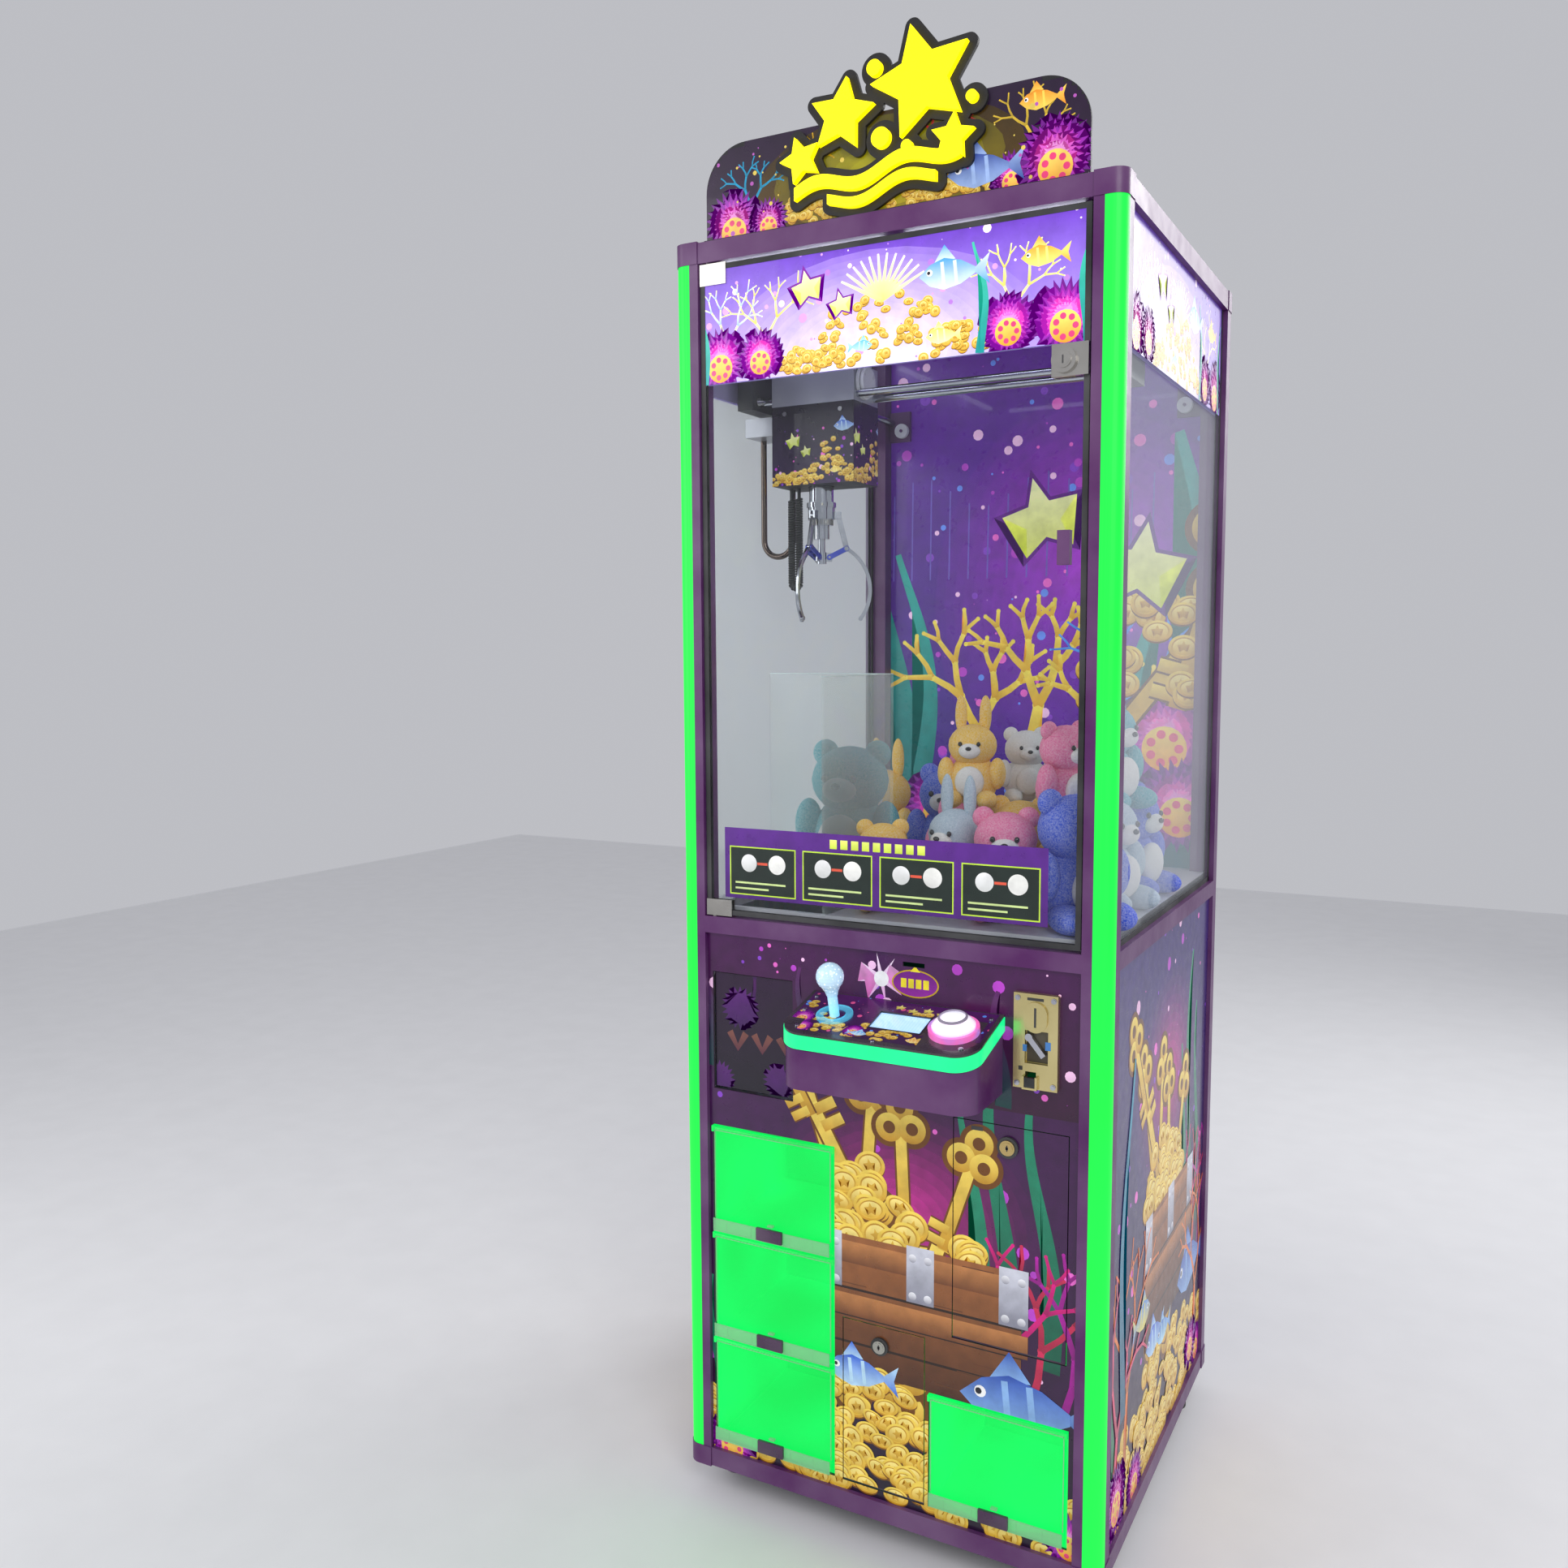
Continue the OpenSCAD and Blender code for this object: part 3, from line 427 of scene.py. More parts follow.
def sea_bed(width, low, high, seed, glow_tone):
    """A panel's picture: dark water, light specks, keys, a coin heap, a chest and growth."""
    art, rng = Print(), random.Random(seed)
    h = high - low
    art.block((-width, width), (low - 0.01, high + 0.01), (0.012, 0.002, 0.02), glow_tone)
    for i in range(12):
        t = (i + 1) / 12
        tone = [a + (b - a) * t * t for a, b in zip(glow_tone, (0.55, 0.02, 0.28))]
        art.disc(0.03, low + h * 0.70, 0.24 - i * 0.018, [c * 0.75 for c in tone], tone,
                 squash=0.85)
    art.glitter((-width, width), (low, high), 90, 0.012, sparkle, rng)
    for u, v, height, sway in ((0.20, low + 0.30, 0.5, 0.03), (0.26, low + 0.28, 0.42, -0.025),
                               (0.15, low + 0.2, 0.45, 0.02), (-0.29, low, 0.3, 0.02)):
        art.weed(u, v, height, sway, 0.034, (0.0, 0.09, 0.05), (0.01, 0.3, 0.16))
    for u, tone in ((0.24, (0.35, 0.01, 0.05)), (0.29, (0.25, 0.0, 0.2)), (0.2, (0.4, 0.0, 0.12))):
        art.coral(u, low + 0.22, 0.09, 0.012, 1.4, (tone, tuple(c * 1.8 for c in tone)), rng, 3)
    for u, v, length, turn in ((-0.06, low + 0.47, 0.30, 1.9), (-0.03, low + 0.46, 0.27, 1.5),
                               (0.04, low + 0.46, 0.22, 1.62), (0.10, low + 0.45, 0.2, 1.25),
                               (-0.12, low + 0.62, 0.2, 2.1)):
        art.key(u, v, length, turn + math.pi, 0.022)
        art.key(u, v - 0.02, length * 0.8, turn, 0.018)
    heap = [(rng.uniform(-0.11, 0.15), rng.uniform(0.0, 0.13)) for _ in range(46)]
    for u, v in sorted(heap, key=lambda p: -p[1]):
        if v < 0.14 - abs(u) * 0.5:
            art.coin(u, low + 0.41 + v, 0.026, rng.uniform(0.55, 0.95), rng.uniform(-0.5, 0.5))
    # The chest: plank front with steel straps and rivets
    c0, c1, z0, z1 = -0.10, 0.225, low + 0.20, low + 0.42
    art.block((c0, c1), (z0, z1), (0.07, 0.02, 0.008), (0.32, 0.11, 0.03))
    for i in range(4):
        v = z0 + (z1 - z0) * (i + 1) / 5
        art.block((c0, c1), (v, v + 0.004), (0.02, 0.006, 0.003))
    for i in range(16):
        u = rng.uniform(c0, c1 - 0.05)
        v = rng.uniform(z0, z1)
        art.block((u, u + 0.05), (v, v + 0.0015), (0.12, 0.035, 0.01))
    for v in (z1 - 0.045, z0 + 0.09):
        art.block((c0 - 0.01, c1 + 0.01), (v, v + 0.035), (0.16, 0.05, 0.015), (0.5, 0.2, 0.06))
    for u in (c0 - 0.012, (c0 + c1) / 2 - 0.02, c1 - 0.035):
        art.block((u, u + 0.045), (z1 - 0.085, z1 + 0.004), (0.25, 0.25, 0.32), (0.65, 0.66, 0.75))
        for du in (0.01, 0.035):
            for dv in (0.0, 0.06):
                art.disc(u + du, z1 - 0.075 + dv, 0.0065, (0.3, 0.3, 0.36), (0.9, 0.9, 0.95), n=14)
    floor_coins = [(rng.uniform(-width, width), rng.uniform(0.0, 0.20)) for _ in range(230)]
    for u, v in sorted(floor_coins, key=lambda p: -p[1]):
        if v < 0.20 - abs(u) * 0.28:
            art.coin(u, low + v, 0.021, rng.uniform(0.5, 0.95), rng.uniform(-0.6, 0.6))
    art.fish(-0.045, low + 0.2, 0.05, (0.02, 0.12, 0.7), (0.5, 0.75, 0.95), -1)
    art.fish(0.215, low + 0.215, 0.085, (0.02, 0.08, 0.45), (0.25, 0.45, 0.8), -1)
    for u, v, r in ((-0.27, low + 0.02, 0.05), (0.3, low + 0.03, 0.045)):
        art.fluff(u, v, r, rng)
    return art


def rect(cut):
    """A tile from (left, low, width, height) in millimetres."""
    left, low, wide, high = (v / 1000 for v in cut)
    return (left, left + wide, low, low + high)


panel_low, panel_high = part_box("front_panel")
print_gap = 0.0002
face_y = panel_low.y - print_gap
stack, right_box = rect((-300.5, 101.5, 221, 541)), rect((79.5, 101.5, 218, 183))
small_tile, service_tile = rect((-64, 104.5, 136, 264.5)), rect((118, 385.5, 173, 336.5))
art = sea_bed(0.32, panel_low.z, panel_high.z - 0.22, 4, (0.05, 0.004, 0.07))
top_v = 0.745
art.block((-0.32, 0.32), (top_v, panel_high.z + 0.01), (0.035, 0.002, 0.03), (0.06, 0.004, 0.075))
rng = random.Random(8)
art.glitter((-0.3, 0.3), (top_v + 0.01, 0.955), 60, 0.011, sparkle, rng)
art.star(0.0, 0.918, 0.04, (0.9, 0.4, 0.8), (1.0, 0.85, 1.0), 8, 0.22, 0.2)
art.disc(0.0, 0.918, 0.012, (1, 1, 1))
for u, v, w in ((-0.30, 0.74, 0.03), (-0.13, 0.75, 0.02), (0.19, 0.75, 0.025)):
    art.weed(u, v, 0.17, 0.012, w, (0.0, 0.05, 0.05), (0.1, 0.01, 0.12))
# Badge over the card slot: a ringed oval with a small pointer
art.disc(0.055, 0.916, 0.038, (0.55, 0.35, 0.0), squash=0.56)
art.disc(0.055, 0.916, 0.0355, (0.3, 0.01, 0.35), (0.14, 0.0, 0.2), squash=0.54)
for i in range(4):
    art.block((0.032 + i * 0.012, 0.041 + i * 0.012), (0.909, 0.923), (0.9, 0.75, 0.02))
art.ink([(0.047, 0.934), (0.063, 0.934), (0.055, 0.943)], (0.9, 0.75, 0.02))
u0, u1, v0, v1 = -inner + 0.0005, inner - 0.0005, panel_low.z, panel_high.z
tiles = [(u0, stack[0], v0, v1), (stack[1], small_tile[0] - 0.0015, v0, top_v),
         (small_tile[1] + 0.0015, right_box[0], v0, top_v),
         (small_tile[0] - 0.0015, small_tile[1] + 0.0015, v0, 0.1005),
         (small_tile[0] - 0.0015, small_tile[1] + 0.0015, 0.3705, top_v),
         (right_box[0], 0.1165, 0.2845, top_v), (0.1165, u1, 0.2845, 0.3815),
         (0.1165, u1, 0.7235, top_v), (0.2925, u1, 0.3815, 0.7235), (right_box[0], u1, v0, 0.1015),
         (right_box[1], u1, 0.1015, 0.2845), (stack[0], stack[1], v0, stack[2]),
         (stack[0], -0.298, stack[3], top_v), (-0.298, -0.152, stack[3], 0.703),
         (-0.152, stack[1], stack[3], top_v),
         (-0.152, 0.211, top_v, 0.941), (0.276, u1, top_v, v1), (0.211, 0.276, top_v, 0.787),
         (0.211, 0.276, 0.925, v1), (-0.298, -0.152, 0.897, v1), (stack[0], -0.298, top_v, v1),
         (-0.152, 0.035, 0.941, v1), (0.07, 0.211, 0.941, v1), (0.035, 0.07, 0.948, v1)]
art.lay("front_print", tiles, (0, face_y, 0), (1, 0, 0), printed)
art.lay("service_door_print", [service_tile], (0, face_y, 0), (1, 0, 0), printed, "service")
art.lay("small_door_print", [small_tile], (0, face_y, 0), (1, 0, 0), printed, "small")

flap_art = Print()
flap_art.block((-0.3, -0.15), (0.70, 0.90), (0.004, 0.002, 0.01), (0.02, 0.002, 0.03))
flap_art.coral(-0.225, 0.86, 0.03, 0.006, 1.5, ((0.04, 0.0, 0.08), (0.07, 0.0, 0.1)), rng, 3)
for u, v, r in ((-0.25, 0.84, 0.036), (-0.18, 0.73, 0.03), (-0.29, 0.72, 0.03)):
    flap_art.star(u, v, r, (0.04, 0.0, 0.09), (0.09, 0.005, 0.16), 20, 0.7)
for i in range(3):
    flap_art.stroke([(-0.27 + i * 0.045, 0.80), (-0.255 + i * 0.045, 0.775),
                     (-0.24 + i * 0.045, 0.80)], 0.012, (0.10, 0.02, 0.04), (0.2, 0.07, 0.05))
flap_art.lay("flap_print", [(-0.2955, -0.1545, 0.7065, 0.8945)],
             (0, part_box("prize_flap")[0].y - print_gap, 0), (1, 0, 0), printed, "flap")
printed_back = worn("printed_back", (0.03, 0.004, 0.035), 0.35)
dress(printed_back, "front_panel", "service_door", "small_door", "prize_flap")

side_low, side_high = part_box("side_panels")
length = (side_high.y - side_low.y) / 2
side_art = sea_bed(length, side_low.z, side_high.z, 11, (0.03, 0.01, 0.16))
rng = random.Random(3)
for u, v, tone in ((-0.22, 0.16, (0.5, 0.12, 0.01)), (-0.28, 0.12, (0.45, 0.03, 0.1)),
                   (0.27, 0.12, (0.5, 0.12, 0.01))):
    side_art.coral(u, v, 0.12, 0.014, 1.5, (tone, tuple(min(c * 2, 1) for c in tone)), rng, 4)
for u, v, r in ((-0.27, 0.14, 0.06), (-0.16, 0.11, 0.05), (0.25, 0.14, 0.05)):
    side_art.fluff(u, v, r, rng)
side_art.weed(-0.24, 0.25, 0.55, 0.03, 0.03, (0.0, 0.1, 0.2), (0.0, 0.3, 0.45))
side_art.fish(-0.12, 0.36, 0.045, (0.05, 0.3, 0.85), (0.8, 0.7, 0.1), 1)
side_art.fish(0.02, 0.27, 0.04, (0.03, 0.2, 0.7), (0.5, 0.8, 0.95), -1)
middle_y = (side_low.y + side_high.y) / 2
side_tile = [(-length, length, side_low.z, side_high.z)]
for sx, side in ((1, "right"), (-1, "left")):
    side_art.lay(f"side_print_{side}", side_tile, (sx * (side_high.x + print_gap), middle_y, 0),
                 (0, sx, 0), printed)
side_back = worn("side_back", (0.05, 0.02, 0.2), 0.4, coat=0.1, fade=0.05)
dress(side_back, "side_panels")

# Glass: clear tempered panes held in black rubber channel, with a lit picture film over
# their upper end.
glass = Shader("clear_glass", (0.9, 0.95, 1.0), 0.02)
smear = glass.noise(14)
glass.set(Roughness=0.02 + smear * 0.03)
clear = glass.tree.nodes.new("ShaderNodeBsdfTransparent")
mixer = glass.tree.nodes.new("ShaderNodeMixShader")
clear.inputs["Color"].default_value = (0.97, 0.985, 0.98, 1)
fresnel = glass.node("Fresnel", {"IOR": 1.35})
glass.put(mixer.inputs[0], fresnel * 0.9 + 0.015)
glass.tree.links.new(clear.outputs[0], mixer.inputs[1])
glass.tree.links.new(glass.base.outputs[0], mixer.inputs[2])
glass.tree.links.new(mixer.outputs[0], glass.tree.nodes["Material Output"].inputs["Surface"])
glass.set(Alpha=0.35)
dress(glass, "glass_door", "side_glasses")

gasket = worn("gasket", (0.01, 0.01, 0.012), 0.6, grain=400)
bm = bmesh.new()
edge = 0.008
for y0, y1 in ((glass_low.y - 0.001, glass_low.y), (glass_high.y, glass_high.y + 0.001)):
    for x0, x1, z0, z1 in ((glass_low.x, glass_low.x + edge, glass_low.z, glass_high.z),
                           (glass_high.x - edge, glass_high.x, glass_low.z, glass_high.z),
                           (glass_low.x + edge, glass_high.x - edge, glass_low.z,
                            glass_low.z + edge),
                           (glass_low.x + edge, glass_high.x - edge, glass_high.z - edge,
                            glass_high.z)):
        add_box(bm, (x0, y0, z0), (x1, y1, z1))
mesh_piece("door_gasket", bm, gasket, "door", smooth=False)
bm = bmesh.new()
pane_low, pane_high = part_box("side_glasses")
for sx in (-1, 1):
    for x0 in (pane_high.x, pane_high.x - 0.0072):
        for y0, y1, z0, z1 in ((pane_low.y, pane_low.y + edge, pane_low.z, pane_high.z),
                               (pane_high.y - edge, pane_high.y, pane_low.z, pane_high.z),
                               (pane_low.y, pane_high.y, pane_low.z, pane_low.z + edge)):
            add_box(bm, (min(sx * x0, sx * (x0 + 0.0012)), y0, z0),
                    (max(sx * x0, sx * (x0 + 0.0012)), y1, z1))
mesh_piece("side_gaskets", bm, gasket, smooth=False)


def header(width, low, high, seed):
    """The lit band of picture: pale violet water with coins, anemones, coral and fish."""
    art, rng = Print(), random.Random(seed)
    art.block((-width, width), (low, high), (0.50, 0.34, 1.0), (0.13, 0.03, 0.5))
    for i in range(12):
        t = (i + 1) / 12
        art.disc(-0.02, low + 0.02, 0.26 - i * 0.017, (0.5 + 0.4 * t, 0.36 + 0.5 * t, 1.0),
                 (0.25 + 0.5 * t, 0.12 + 0.5 * t, 0.65 + 0.3 * t), squash=0.55)
    art.glitter((-width, width), (low, high), 70, 0.007,
                [(0.7, 0.35, 0.95), (1, 0.8, 1), (0.5, 0.2, 0.9)], rng)
    for u, tone in ((-0.19, (0.75, 0.65, 0.1)), (-0.26, (0.35, 0.5, 0.9)), (0.2, (0.8, 0.7, 0.1))):
        art.coral(u, low + 0.01, 0.045, 0.006, 1.55, (tone, (1.0, 0.95, 0.45)), rng, 4)
    for _ in range(150):
        u = rng.uniform(-0.17, 0.2)
        v = rng.uniform(0, 0.10) * math.exp(-(u / 0.12) ** 2) + rng.uniform(0, 0.02)
        art.coin(u, low + v, 0.008, rng.uniform(0.5, 1), rng.uniform(-0.5, 0.5))
    for i in range(12):
        a = 0.5 + i * 0.19
        art.stroke([(0.0, low + 0.09), (0.075 * math.cos(a), low + 0.09 + 0.065 * math.sin(a))],
                   0.007, (0.95, 0.75, 0.2), (1.0, 0.95, 0.7), 0.003)
    for u, r in ((-0.27, 0.05), (-0.2, 0.042), (0.19, 0.045), (0.27, 0.052)):
        art.fluff(u, low + 0.035, r, rng)
    for u, sway in ((0.15, 0.01), (-0.3, 0.012), (0.3, -0.01)):
        art.weed(u, low, 0.15, sway, 0.013, (0.0, 0.3, 0.3), (0.05, 0.6, 0.4))
    art.fish(0.10, high - 0.065, 0.042, (0.05, 0.35, 0.85), (0.75, 0.85, 0.95), -1)
    art.fish(0.235, high - 0.06, 0.028, (0.95, 0.4, 0.02), (1.0, 0.8, 0.2), -1)
    art.fish(0.09, low + 0.03, 0.022, (0.95, 0.7, 0.1), (1, 0.9, 0.5), -1)
    art.fish(-0.03, low + 0.03, 0.016, (0.1, 0.5, 0.9), (0.6, 0.85, 1), 1)
    for u, v, r in ((-0.12, high - 0.055, 0.026), (-0.065, high - 0.085, 0.019)):
        art.star(u, v, r * 1.3, (0.2, 0.0, 0.35), turn=0.2)
        art.star(u, v, r, (0.75, 0.9, 0.15), (1.0, 1.0, 0.6), turn=0.2)
    return art


header_low, glass_gap = 1.818, 0.0003
header(0.31, header_low, glass_high.z, 5).lay(
    "door_header", [(glass_low.x + edge, glass_high.x - edge, header_low, glass_high.z - edge)],
    (0, glass_low.y - glass_gap, 0), (1, 0, 0), backlit, "door")
side_header = header(0.33, header_low, pane_high.z, 6)
for sx, side in ((1, "right"), (-1, "left")):
    side_header.lay(f"side_header_{side}", [(-0.327, 0.327, header_low, pane_high.z)],
                    (sx * (pane_high.x + glass_gap), middle_y, 0), (0, sx, 0), side_backlit)
bm = bmesh.new()
add_box(bm, (glass_low.x + edge, glass_high.y + 0.0002, header_low),
        (glass_high.x - edge, glass_high.y + 0.0006, glass_high.z - edge))
film_back = worn("film_back", (0.5, 0.45, 0.7), 0.5)
mesh_piece("door_header_back", bm, film_back, "door", smooth=False)
bm = bmesh.new()
for sx in (-1, 1):
    x0 = sx * (pane_high.x - 0.0068)
    add_box(bm, (min(x0, x0 + sx * 0.0004), middle_y - 0.327, header_low),
            (max(x0, x0 + sx * 0.0004), middle_y + 0.327, pane_high.z))
mesh_piece("side_header_backs", bm, film_back, smooth=False)

# Guide sticker: a printed purple vinyl band stuck on the door glass, with four picture panels
# and no lettering.
guide = Print()
guide.block((-0.271, 0.257), (1.021, 1.133), (0.07, 0.01, 0.18), (0.10, 0.015, 0.25))
for i in range(9):
    guide.block((-0.085 + i * 0.018, -0.073 + i * 0.018), (1.110, 1.124), (0.6, 0.75, 0.05),
                (0.9, 1.0, 0.2))
for i in range(4):
    u = -0.262 + i * 0.13
    guide.block((u, u + 0.118), (1.027, 1.104), (0.55, 0.8, 0.05))
    guide.block((u + 0.002, u + 0.116), (1.029, 1.102), (0.01, 0.02, 0.015))
    guide.disc(u + 0.035, 1.078, 0.014, (0.6, 0.62, 0.6), (0.9, 0.9, 0.9))
    guide.disc(u + 0.085, 1.078, 0.015, (0.75, 0.75, 0.72), (0.95, 0.95, 0.9))
    guide.stroke([(u + 0.05, 1.078), (u + 0.068, 1.078)], 0.004, (0.8, 0.1, 0.05))
    for k in (0, 1):
        guide.block((u + 0.01, u + 0.1 - k * 0.03), (1.045 - k * 0.009, 1.048 - k * 0.009),
                    (0.6, 0.75, 0.3))
# The sticker is not lit: the glow of its print is painted light.
guide.lay("guide_sticker", [(-0.272, 0.258, 1.02, 1.134)], (0, glass_low.y - glass_gap, 0),
          (1, 0, 0), film("sticker_film_painted_glow", 0.25), "door")

# Door fittings: nickel pivot clamps and a lock case clamped on the glass, a turned lock, and a
# purple finger pull. The panel doors' cam locks have brass and nickel faces.
nickel = worn("nickel", (0.52, 0.5, 0.46), 0.22, 1.0)
dress(nickel, "glass_door_fittings")
lock_brass = worn("lock_brass", (0.62, 0.45, 0.16), 0.25, 1.0)
black_plastic = worn("black_plastic", (0.012, 0.012, 0.014), 0.35)


def lock_face(name, x, z, y, radius, body, metal):
    """A cam lock: black bezel, turned face with a dished ring and a keyway; the keyway is black,
    painted shade in the key slot.
    """
    bm = bmesh.new()
    add_rod(bm, (x, y - 0.0048, z), radius * 1.5, 0.0048, top=radius * 1.5, slot=0)
    add_rod(bm, (x, y - 0.0068, z), radius * 1.08, 0.0068, slot=1)
    add_rod(bm, (x, y - 0.0074, z), radius * 0.8, 0.0074, slot=1)
    # The black keyway boxes are painted shade in the key slot.
    add_box(bm, (x - 0.0009, y - 0.0078, z - radius * 0.42),
            (x + 0.0009, y - 0.0070, z + radius * 0.42), 0)
    add_box(bm, (x - 0.002, y - 0.0078, z - 0.002), (x + 0.002, y - 0.0070, z + 0.002), 0)
    return mesh_piece(name, bm, [black_plastic, metal], body)


lock_face("service_lock", 0.202, 0.692, panel_low.y, 0.0105, "service", lock_brass)
lock_face("small_lock", -0.001, 0.338, panel_low.y, 0.0095, "small", nickel)
bm = bmesh.new()
lock_y = glass_low.y - 0.016
add_rod(bm, (0.272, lock_y - 0.0004, 1.794), 0.0085, 0.0006, slot=1)
# The black keyway on the turned lock is painted shade in the key slot.
add_box(bm, (0.271, lock_y - 0.0009, 1.7885), (0.273, lock_y - 0.0003, 1.7995), 0)
add_box(bm, (0.2663, glass_low.y - 0.0126, 1.5233), (0.2837, glass_low.y - 0.0001, 1.5697), 2)
mesh_piece("door_lock_face", bm, [black_plastic, nickel, purple_paint], "door")
# Black rectangles at the panel doors' slots: painted shade where the openings are dark.
bm = bmesh.new()
for x, z, w in ((0.154, 0.712, 0.009), (0.042, 0.361, 0.007)):
    add_box(bm, (x - w, panel_low.y - 0.0006, z - 0.003), (x + w, panel_low.y - 0.0002, z + 0.003))
mesh_piece("panel_slots", bm, black_plastic, "service")

# Sign: a printed black board that stands on the front rail, with raised, glowing yellow shapes
# on a dark backing.
board_top = 2.171
sign = Print()
rng = random.Random(21)
sign.block((-0.31, 0.31), (2.02, 2.30), (0.02, 0.002, 0.03), (0.01, 0.002, 0.02))
for i in range(6):
    sign.disc(0.0, 2.09, 0.21 - i * 0.03, (0.10 + i * 0.1, 0.05 + i * 0.09, 0.0),
              (0.03 + i * 0.05, 0.015 + i * 0.05, 0.0), squash=0.42)
for u, v, tone in ((-0.22, 2.04, (0.0, 0.2, 0.35)), (0.08, 2.07, (0.4, 0.02, 0.02)),
                   (0.22, 2.05, (0.45, 0.3, 0.02)), (-0.13, 2.06, (0.35, 0.2, 0.0))):
    sign.coral(u, v, 0.036, 0.006, 1.5, (tone, tuple(min(1, c * 1.7) for c in tone)), rng, 4)
for _ in range(160):
    u = rng.uniform(-0.16, 0.16)
    sign.coin(u, 2.036 + rng.uniform(0, 0.045), 0.008, rng.uniform(0.5, 1), rng.uniform(-0.5, 0.5))
for u, v, r in ((-0.25, 2.055, 0.052), (-0.19, 2.05, 0.035), (0.19, 2.05, 0.035),
                (0.25, 2.065, 0.058)):
    sign.fluff(u, v, r, rng)
sign.fish(0.14, 2.065, 0.045, (0.02, 0.06, 0.35), (0.35, 0.5, 0.85), -1)
sign.fish(0.225, 2.142, 0.026, (0.95, 0.3, 0.01), (1, 0.7, 0.1), -1)
sign.glitter((-0.29, 0.29), (2.04, 2.16), 60, 0.004, [(0.8, 0.6, 0.1), (0.5, 0.1, 0.5)], rng)
board_half, board_foot, board_inset, r, steps = 0.298, 2.0345, 0.015, 0.068, 10
rows = []
for i in range(steps):
    z0, z1 = board_top - r + r * i / steps, board_top - r + r * (i + 1) / steps
    cut = r - math.sqrt(max(r * r - (z1 - board_top + r) ** 2, 0))
    rows.append((-board_half + cut, board_half - cut, z0, z1))
# The board is not lit: the glow of its print is painted light.
sign.lay("sign_print", [(-board_half, board_half, board_foot, board_top - r)] + rows,
         (0, front + board_inset - print_gap, 0), (1, 0, 0), film("sign_film_painted_glow", 0.2))
sign_black = worn("sign_black", (0.006, 0.005, 0.008), 0.55, coat=0.0, fade=0.03)
dress(sign_black, "sign_board")
sign_glow = Shader("sign_glow", (1.0, 0.9, 0.0), 0.3)
halo = sign_glow.noise(20, 2)
sign_glow.set(Emission_Color=sign_glow.mix((1.0, 0.72, 0.0, 1), (1.0, 0.9, 0.0, 1), halo),
              Emission_Strength=1.15)
dress(sign_glow, "sign_emblem")

# Inside: the back wall is a lit picture of weed and coral, the deck is white board, the chute is
# clear acrylic, and white lamps run under the top rails.
wall_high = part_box("rear_wall")[1]
wall = Print()
rng = random.Random(33)
v0, v1 = deck_high.z, rails_high.z - 0.031
wall.block((-inner, inner), (v0, v1), (0.03, 0.01, 0.22), (0.13, 0.01, 0.35))
for i in range(14):
    t = (i + 1) / 14
    wall.disc(0.12, 1.5, 0.33 - i * 0.02, (0.05 + 0.13 * t, 0.01, 0.24 + 0.22 * t),
              (0.12 + 0.3 * t, 0.01 + 0.03 * t, 0.33 + 0.3 * t), squash=1.2)
wall.glitter((-inner, inner), (v0, v1), 240, 0.012, sparkle + [(0.15, 0.3, 0.95)], rng)
for i in range(16):
    u = -0.3 + i * 0.04
    wall.stroke([(u, 1.55), (u + 0.002, 1.72 + 0.03 * math.sin(i))], 0.003, (0.16, 0.1, 0.5))
for u, height, sway, wide in ((-0.29, 0.75, 0.05, 0.07), (-0.25, 0.6, -0.04, 0.05),
                              (0.22, 0.55, 0.04, 0.05), (0.29, 0.8, 0.04, 0.07)):
    wall.weed(u, v0, height, sway, wide, (0.0, 0.12, 0.14), (0.01, 0.42, 0.36))
for u, v, size in ((-0.12, v0 + 0.12, 0.12), (0.0, v0 + 0.2, 0.1), (0.12, v0 + 0.1, 0.11)):
    wall.coral(u, v, size, 0.024, 1.5, ((0.75, 0.4, 0.02), (0.95, 0.75, 0.1)), rng, 4)
wall.coral(0.2, v0 + 0.15, 0.12, 0.012, 1.6, ((0.02, 0.15, 0.7), (0.1, 0.4, 0.95)), rng, 4)
for u, v, size in ((0.25, 1.25, 0.1), (-0.2, 1.1, 0.08), (0.28, 1.12, 0.09)):
    wall.fluff(u, v, size, rng)
for u, v, length, turn in ((0.12, 1.2, 0.4, 0.9), (0.27, 1.3, 0.35, 1.3)):
    wall.key(u, v, length, turn, 0.03)
for i in range(26):
    wall.coin(rng.uniform(0.1, 0.3), rng.uniform(1.3, 1.5), 0.028, rng.uniform(0.6, 0.95))
for u, v, size, turn in ((0.01, 1.66, 0.08, 0.25), (0.20, 1.56, 0.085, -0.15)):
    wall.star(u, v, size * 1.22, (0.12, 0.0, 0.25), turn=turn)
    wall.star(u, v, size, (0.75, 0.8, 0.15), (1.0, 1.0, 0.55), turn=turn)
wall.lay("back_wall_print", [(-inner + 0.001, inner - 0.001, v0, v1)],
         (0, wall_high.y - 0.0062, 0), (1, 0, 0), lit_wall)
dress(side_back, "rear_wall")
white_board = worn("white_board", (0.62, 0.62, 0.68), 0.35)
dress(white_board, "play_deck")
acrylic = Shader("clear_acrylic", (0.85, 0.97, 0.95), 0.04, alpha=0.12)
acrylic.set(Roughness=0.03 + acrylic.noise(20) * 0.05)
dress(acrylic, "chute_walls")
bm = bmesh.new()
chute_low, chute_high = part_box("chute_walls")
add_box(bm, (chute_high.x - 0.0041, chute_low.y, chute_high.z - 0.0008),
        (chute_high.x + 0.0001, chute_high.y, chute_high.z + 0.0004))
add_box(bm, (chute_low.x, chute_high.y - 0.0041, chute_high.z - 0.0008),
        (chute_high.x, chute_high.y + 0.0001, chute_high.z + 0.0004))
# Pale strips on the chute walls' top edges: a painted highlight where the cut acrylic catches the
# light.
acrylic_edge_painted_highlight = worn("acrylic_edge_painted_highlight", (0.7, 0.85, 0.85), 0.2)
mesh_piece("chute_edges", bm, acrylic_edge_painted_highlight)

